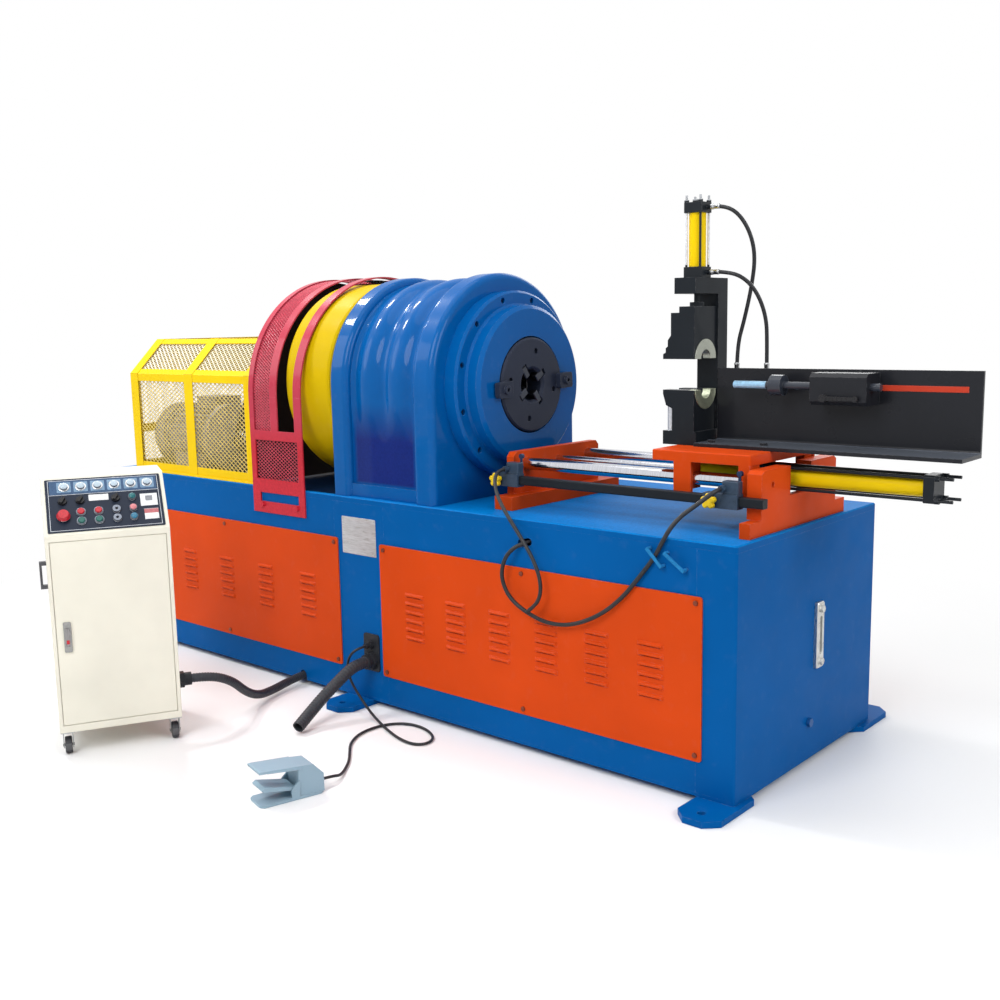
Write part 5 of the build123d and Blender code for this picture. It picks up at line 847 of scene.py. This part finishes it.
def head_skirts():
    """Sheet that runs straight down from the barrel's widest line to the base, its ribs fading out."""
    for name, side in (("near", -1), ("far", 1)):
        bm = bmesh.new()
        rows = []
        for j in range(SKIRT_ROWS + 1):
            z = SKIRT_TOP - (SKIRT_TOP - SKIRT_FOOT) * j / SKIRT_ROWS
            keep = min(1.0, max(0.0, (z - RIBS_END_Z) / RIBS_FADE))
            keep = keep * keep * (3 - 2 * keep)
            row = []
            for i in range(SKIRT_COLUMNS + 1):
                x = RIB_X0 + (RIB_X1 - RIB_X0) * i / SKIRT_COLUMNS
                radius = SKIRT_R + (rib_radius(x) - SKIRT_R) * keep
                row.append(bm.verts.new((x, AXIS_Y + side * (radius + SKIRT_LIFT), z)))
            rows.append(row)
        for low, high in zip(rows, rows[1:]):
            for i in range(SKIRT_COLUMNS):
                quad = (low[i], high[i], high[i + 1], low[i + 1])
                bm.faces.new(quad if side < 0 else tuple(reversed(quad)))
        piece = finish_mesh(bm, "head_skirt_" + name, HEAD_PAINT, "machine", 60)


def cage_trim():
    """Broad cover strips over the cage's posts, folded with its sides, slopes and top."""
    bm = bmesh.new()
    slope = CAGE_CUT / 2
    runs = [(Vector((0, 0, CAGE_TOP)), Z_DIR, CAGE_HALF - CAGE_CUT, Y_DIR)]
    for side in (-1, 1):
        wall = Vector((0, side * CAGE_HALF, (CAGE_FOOT + CAGE_KNEE) / 2))
        runs.append((wall, Y_DIR * side, (CAGE_KNEE - CAGE_FOOT) / 2, Z_DIR))
        fold = Vector((0, side * (CAGE_HALF - slope), CAGE_KNEE + slope))
        runs.append((fold, Vector((0, side, 1)).normalized(), slope * math.sqrt(2),
                     Vector((0, -side, 1)).normalized()))
    for x, width in CAGE_POSTS:
        for middle, out, half, up in runs:
            corners = []
            for lift in STRIP_LIFTS:
                for a, b in BOX_CORNERS:
                    spot = middle + X_DIR * (x + a * width / 2) + up * (b * half) + out * lift
                    corners.append(bm.verts.new(spot))
            for quad in BOX_FACES:
                bm.faces.new([corners[k] for k in quad])
    bmesh.ops.recalc_face_normals(bm, faces=bm.faces)
    piece = finish_mesh(bm, "cage_trim", YELLOW_PAINT, "machine", 30)


def guard_liner():
    """Sheet of painted shade under the open crown of the arched guard."""
    bm = bmesh.new()
    rows = []
    for j in range(LINER_STEPS + 1):
        angle = math.radians(LINER_FROM + LINER_OVER * j / LINER_STEPS)
        y = GUARD_Y - LINER_R * math.cos(angle)
        z = GUARD_Z + LINER_R * math.sin(angle)
        rows.append([bm.verts.new((x, y, z)) for x in LINER_X])
    for low, high in zip(rows, rows[1:]):
        bm.faces.new((low[0], low[1], high[1], high[0]))
    piece = finish_mesh(bm, "guard_liner", GUARD_SHADE_DARK, "machine", 60)


def in_arch(y, z):
    """Whether a point of the YZ plane lies on the sheet that fills the arched guard."""
    if z < END_FOOT or abs(y - GUARD_Y) > END_REACH:
        return False
    return z < GUARD_Z or math.hypot(y - GUARD_Y, z - GUARD_Z) < END_REACH


def arch_reach(a):
    """How far that sheet goes from the spindle axis at an angle."""
    low, high = END_HOLE, END_FAR
    for _ in range(END_HALVINGS):
        mid = (low + high) / 2
        if in_arch(AXIS_Y + mid * math.cos(a), AXIS_Z + mid * math.sin(a)):
            low = mid
        else:
            high = mid
    return low


def guard_end():
    """Sheet that closes the drive end of the arched guard, holed for the spindle, near black as painted shade."""
    bm = bmesh.new()
    turns = [2 * math.pi * k / END_SIDES for k in range(END_SIDES)]
    rings = []
    for x in END_X:
        inner, outer = [], []
        for a in turns:
            for rim, reach in ((inner, END_HOLE), (outer, arch_reach(a))):
                rim.append(bm.verts.new((x, AXIS_Y + reach * math.cos(a), AXIS_Z + reach * math.sin(a))))
        rings.append((inner, outer))
    (in_a, out_a), (in_b, out_b) = rings
    bridge(bm, in_a, out_a)
    bridge(bm, out_a, out_b)
    bridge(bm, out_b, in_b)
    bridge(bm, in_b, in_a)
    piece = finish_mesh(bm, "guard_end_sheet", GUARD_SHADE_DARK, "machine", 30)


# Small fittings

RIM_POINTS = 24
DOME_SHOULDER, DOME_TIP = 0.35, 0.05


def lathe(name, profile, origin, axis, material, body, sides=24):
    """Turned piece: profile is (radius, height) in mm from the origin along the axis."""
    axis = Vector(axis).normalized()
    first = axis.orthogonal().normalized()
    second = axis.cross(first)
    bm = bmesh.new()
    rings = [ring_of(bm, Vector(origin) + axis * (height / 1000), first, second, radius / 1000, sides)
             for radius, height in profile]
    for low, high in zip(rings, rings[1:]):
        bridge(bm, low, high)
    bm.faces.new(list(reversed(rings[0])))
    bm.faces.new(rings[-1])
    piece = finish_mesh(bm, name, material, body, 35)


def sheet_plate(name, middle, across, up, width, height, thick, material, body, corner=0.004):
    """Thin plate with rounded corners lying on a face; its back is at the middle point."""
    out = across.cross(up)
    rim = []
    for k in range(RIM_POINTS):
        a = 2 * math.pi * (k + 0.5) / RIM_POINTS
        x = math.copysign(width / 2 - corner, math.cos(a)) + corner * math.cos(a)
        y = math.copysign(height / 2 - corner, math.sin(a)) + corner * math.sin(a)
        rim.append(middle + across * x + up * y)
    bm = bmesh.new()
    back = [bm.verts.new(p) for p in rim]
    front = [bm.verts.new(p + out * thick) for p in rim]
    bridge(bm, back, front)
    bm.faces.new(front)
    bm.faces.new(list(reversed(back)))
    piece = finish_mesh(bm, name, material, body, 30)


def dome(radius, height, steps=6):
    """Profile of a rounded cap."""
    turns = [math.pi / 2 * k / steps for k in range(steps)]
    crown = [(radius * math.cos(a), height * (DOME_SHOULDER + (1 - DOME_SHOULDER) * math.sin(a))) for a in turns]
    return [(radius, 0.0)] + crown + [(radius * DOME_TIP, height)]


# Sizes and places of the fittings, in mm unless a piece is built in metres
PLATE_X, PLATE_Y, PLATE_Z = 46, -490, 669
RIVET_Y, RIVET_DX, RIVET_DZ = -491.2, 88, 65
PANEL_FACE = 3.0
PANEL_LINES = (("top", 0, 106, 368, 1.8), ("bottom", 0, -106, 368, 1.8), ("middle", 0, 44, 368, 1.8),
               ("left", -184, 0, 1.8, 213.8), ("right", 184, 0, 1.8, 213.8))
LAMPS_IN_ROW, LAMP_ROW_X, LAMP_ROW_Y, LAMP_PITCH = 6, 8, 76, 56
LAMP_RING = ((18.5, 0), (18.5, 2.6), (16.5, 3.4), (15.2, 3.4))
LAMP_COLUMN_X = 92
LAMP_COLUMN = (("teal", 14, LAMP_TEAL, "green_button"), ("pink", -34, LAMP_PINK, "red_button"),
               ("blue", -72, LAMP_BLUE, "panel_navy"))
ROW_CAP_H, COLUMN_CAP_H = 11.6, 12.9
FERRULE = ((7.6, 0), (9.6, 1), (9.6, 9), (8.6, 10), (8.6, 24), (9.2, 25), (9.2, 31), (7.2, 33))
FERRULES = ((mm(1333, -52, 1836), X_DIR), (mm(1333, -52, 1627), X_DIR),
            (mm(1384, 38, 1296), Z_DIR), (mm(1494, 38, 1296), Z_DIR))


def bare_plates():
    """Blank nameplate with its rivets, and the plain red strip of the trough."""
    sheet_plate("blank_nameplate", mm(PLATE_X, PLATE_Y, PLATE_Z), X_DIR, Z_DIR, 0.192, 0.146, 0.0012, PLATE_METAL,
                "machine")
    for i, (side, up) in enumerate(((-1, -1), (1, -1), (-1, 1), (1, 1))):
        spot = mm(PLATE_X + side * RIVET_DX, RIVET_Y, PLATE_Z + up * RIVET_DZ)
        lathe("nameplate_rivet_%d" % i, dome(2.6, 1.6, 3), spot, -Y_DIR, CRIMP, "machine", 12)
    sheet_plate("trough_red_strip", mm(2020, 2, 1257), X_DIR, Z_DIR, 0.280, 0.018, 0.0006, RED_STRIP, "carriage",
                0.001)


def panel_fittings():
    """Border and dividing line, lamp backs and lamp caps of the control panel, and the lock's red spot."""
    for name, x, y, width, height in PANEL_LINES:
        sheet_plate("panel_line_" + name, panel(x, y, PANEL_FACE), CAB_U, PANEL_UP, width / 1000, height / 1000,
                    0.0003, LINE_WHITE, "machine", 0.0004)
    for i in range(LAMPS_IN_ROW):
        x = LAMP_ROW_X + LAMP_PITCH * (i - (LAMPS_IN_ROW - 1) / 2)
        foot = panel(x, LAMP_ROW_Y, PANEL_FACE)
        lathe("lamp_ring_%d" % i, LAMP_RING, foot, PANEL_N, CRIMP, "machine")
        sheet_plate("lamp_back_%d" % i, foot, CAB_U, PANEL_UP, 0.047, 0.044, 0.0007, LAMP_BACK, "machine",
                    0.003)
        lathe("lamp_cap_%d" % i, dome(12.6, 3.2), panel(x, LAMP_ROW_Y, ROW_CAP_H), PANEL_N, LAMP_WHITE, "machine")
    for name, y, material, slot in LAMP_COLUMN:
        lathe("lamp_cap_" + name, dome(11.6, 7.5), panel(LAMP_COLUMN_X, y, COLUMN_CAP_H), PANEL_N, material,
              "machine")
    sheet_plate("lock_red_spot", cab(-157, -40.55, 412), CAB_U, Z_DIR, 0.010, 0.014, 0.0006, RED_BUTTON,
                "door_lock", 0.002)


def hose_ends():
    """Crimped ferrules of the two clamp hoses."""
    for i, (origin, axis) in enumerate(FERRULES):
        lathe("hose_ferrule_%d" % i, FERRULE, origin, axis, CRIMP, "carriage", 20)


head_skirts()
cage_trim()
guard_liner()
guard_end()
bare_plates()
panel_fittings()
hose_ends()

# Stage: pale floor that fades to the white background, soft studio light

FLOOR_SIZE, FLOOR_Z = 60, -0.0006
FADE_MIDDLE, FADE_FROM, FADE_TO = (0.3, -0.4, 0), 1.6, 3.6
SKY_SEEN = ((1, 1, 1, 1), 1.0)
SKY_LIGHT = ((0.96, 0.98, 1.0, 1), 0.34)
SEEN_RAYS = ("Is Camera Ray", "Is Glossy Ray", "Is Transmission Ray")
# Name, place, aim, size and power of each lamp
LAMPS = (
    ("key", (1.2, -4.6, 4.2), (0.0, 0.0, 0.8), 3.0, 160.0),
    ("left", (-4.6, -3.2, 3.4), (-0.6, -0.4, 0.8), 2.6, 55.0),
    ("right", (4.8, -0.6, 3.0), (0.8, -0.2, 0.9), 2.4, 75.0),
    ("back", (-0.5, 4.5, 3.6), (0.0, 0.2, 1.0), 3.0, 80.0),
    ("top", (0.2, -0.4, 5.2), (0.2, 0.0, 0.8), 4.0, 70.0),
    ("streak_low", (-2.7, -1.2, 4.0), (0.1, -0.3, 1.4), 0.55, 62.0),
    ("streak_high", (-2.9, 0.3, 4.3), (0.1, -0.3, 1.4), 0.55, 62.0),
)


def seen_rays(tree):
    """1 for the rays that see the background itself rather than its light."""
    ray = tree.nodes.new("ShaderNodeLightPath")
    seen = ray.outputs[SEEN_RAYS[0]]
    for kind in SEEN_RAYS[1:]:
        either = tree.nodes.new("ShaderNodeMath")
        either.operation = "MAXIMUM"
        tree.links.new(seen, either.inputs[0])
        tree.links.new(ray.outputs[kind], either.inputs[1])
        seen = either.outputs[0]
    return seen


def set_floor():
    s = Shader("floor")
    s.set(Base_Color=(0.88, 0.88, 0.88, 1.0), Roughness=0.9, Specular_IOR_Level=0.1)
    glow = s.node("ShaderNodeEmission", {"Color": (1, 1, 1, 1), "Strength": 1.0}).outputs[0]
    away = s.vectors("DISTANCE", s.place, FADE_MIDDLE).outputs[1]
    fade = s.both(s.ramp(away, FADE_FROM, FADE_TO), seen_rays(s.tree))
    mixed = s.node("ShaderNodeMixShader", {0: fade, 1: s.bsdf.outputs[0], 2: glow})
    s.tree.links.new(mixed.outputs[0], s.out.inputs[0])
    bpy.ops.mesh.primitive_plane_add(size=FLOOR_SIZE, location=(0, 0, FLOOR_Z))
    floor = bpy.context.object
    floor.name = "floor"
    floor.data.materials.append(s.material)


def set_world():
    world = bpy.data.worlds.new("studio")
    bpy.context.scene.world = world
    world.use_nodes = True
    tree = world.node_tree
    tree.nodes.clear()
    out = tree.nodes.new("ShaderNodeOutputWorld")
    mix = tree.nodes.new("ShaderNodeMixShader")
    tree.links.new(seen_rays(tree), mix.inputs[0])
    for socket, (colour, strength) in ((mix.inputs[1], SKY_LIGHT), (mix.inputs[2], SKY_SEEN)):
        shade = tree.nodes.new("ShaderNodeBackground")
        shade.inputs[0].default_value = colour
        shade.inputs[1].default_value = strength
        tree.links.new(shade.outputs[0], socket)
    tree.links.new(mix.outputs[0], out.inputs[0])


def set_lamps():
    for name, spot, aim, size, power in LAMPS:
        data = bpy.data.lights.new(name, "AREA")
        data.shape = "DISK"
        data.size = size
        data.energy = power
        lamp = bpy.data.objects.new(name, data)
        lamp.location = spot
        lamp.rotation_euler = (Vector(aim) - Vector(spot)).to_track_quat("-Z", "Y").to_euler()
        bpy.context.collection.objects.link(lamp)


set_floor()
set_world()
set_lamps()

view = bpy.context.scene.view_settings
view.view_transform = "Standard"
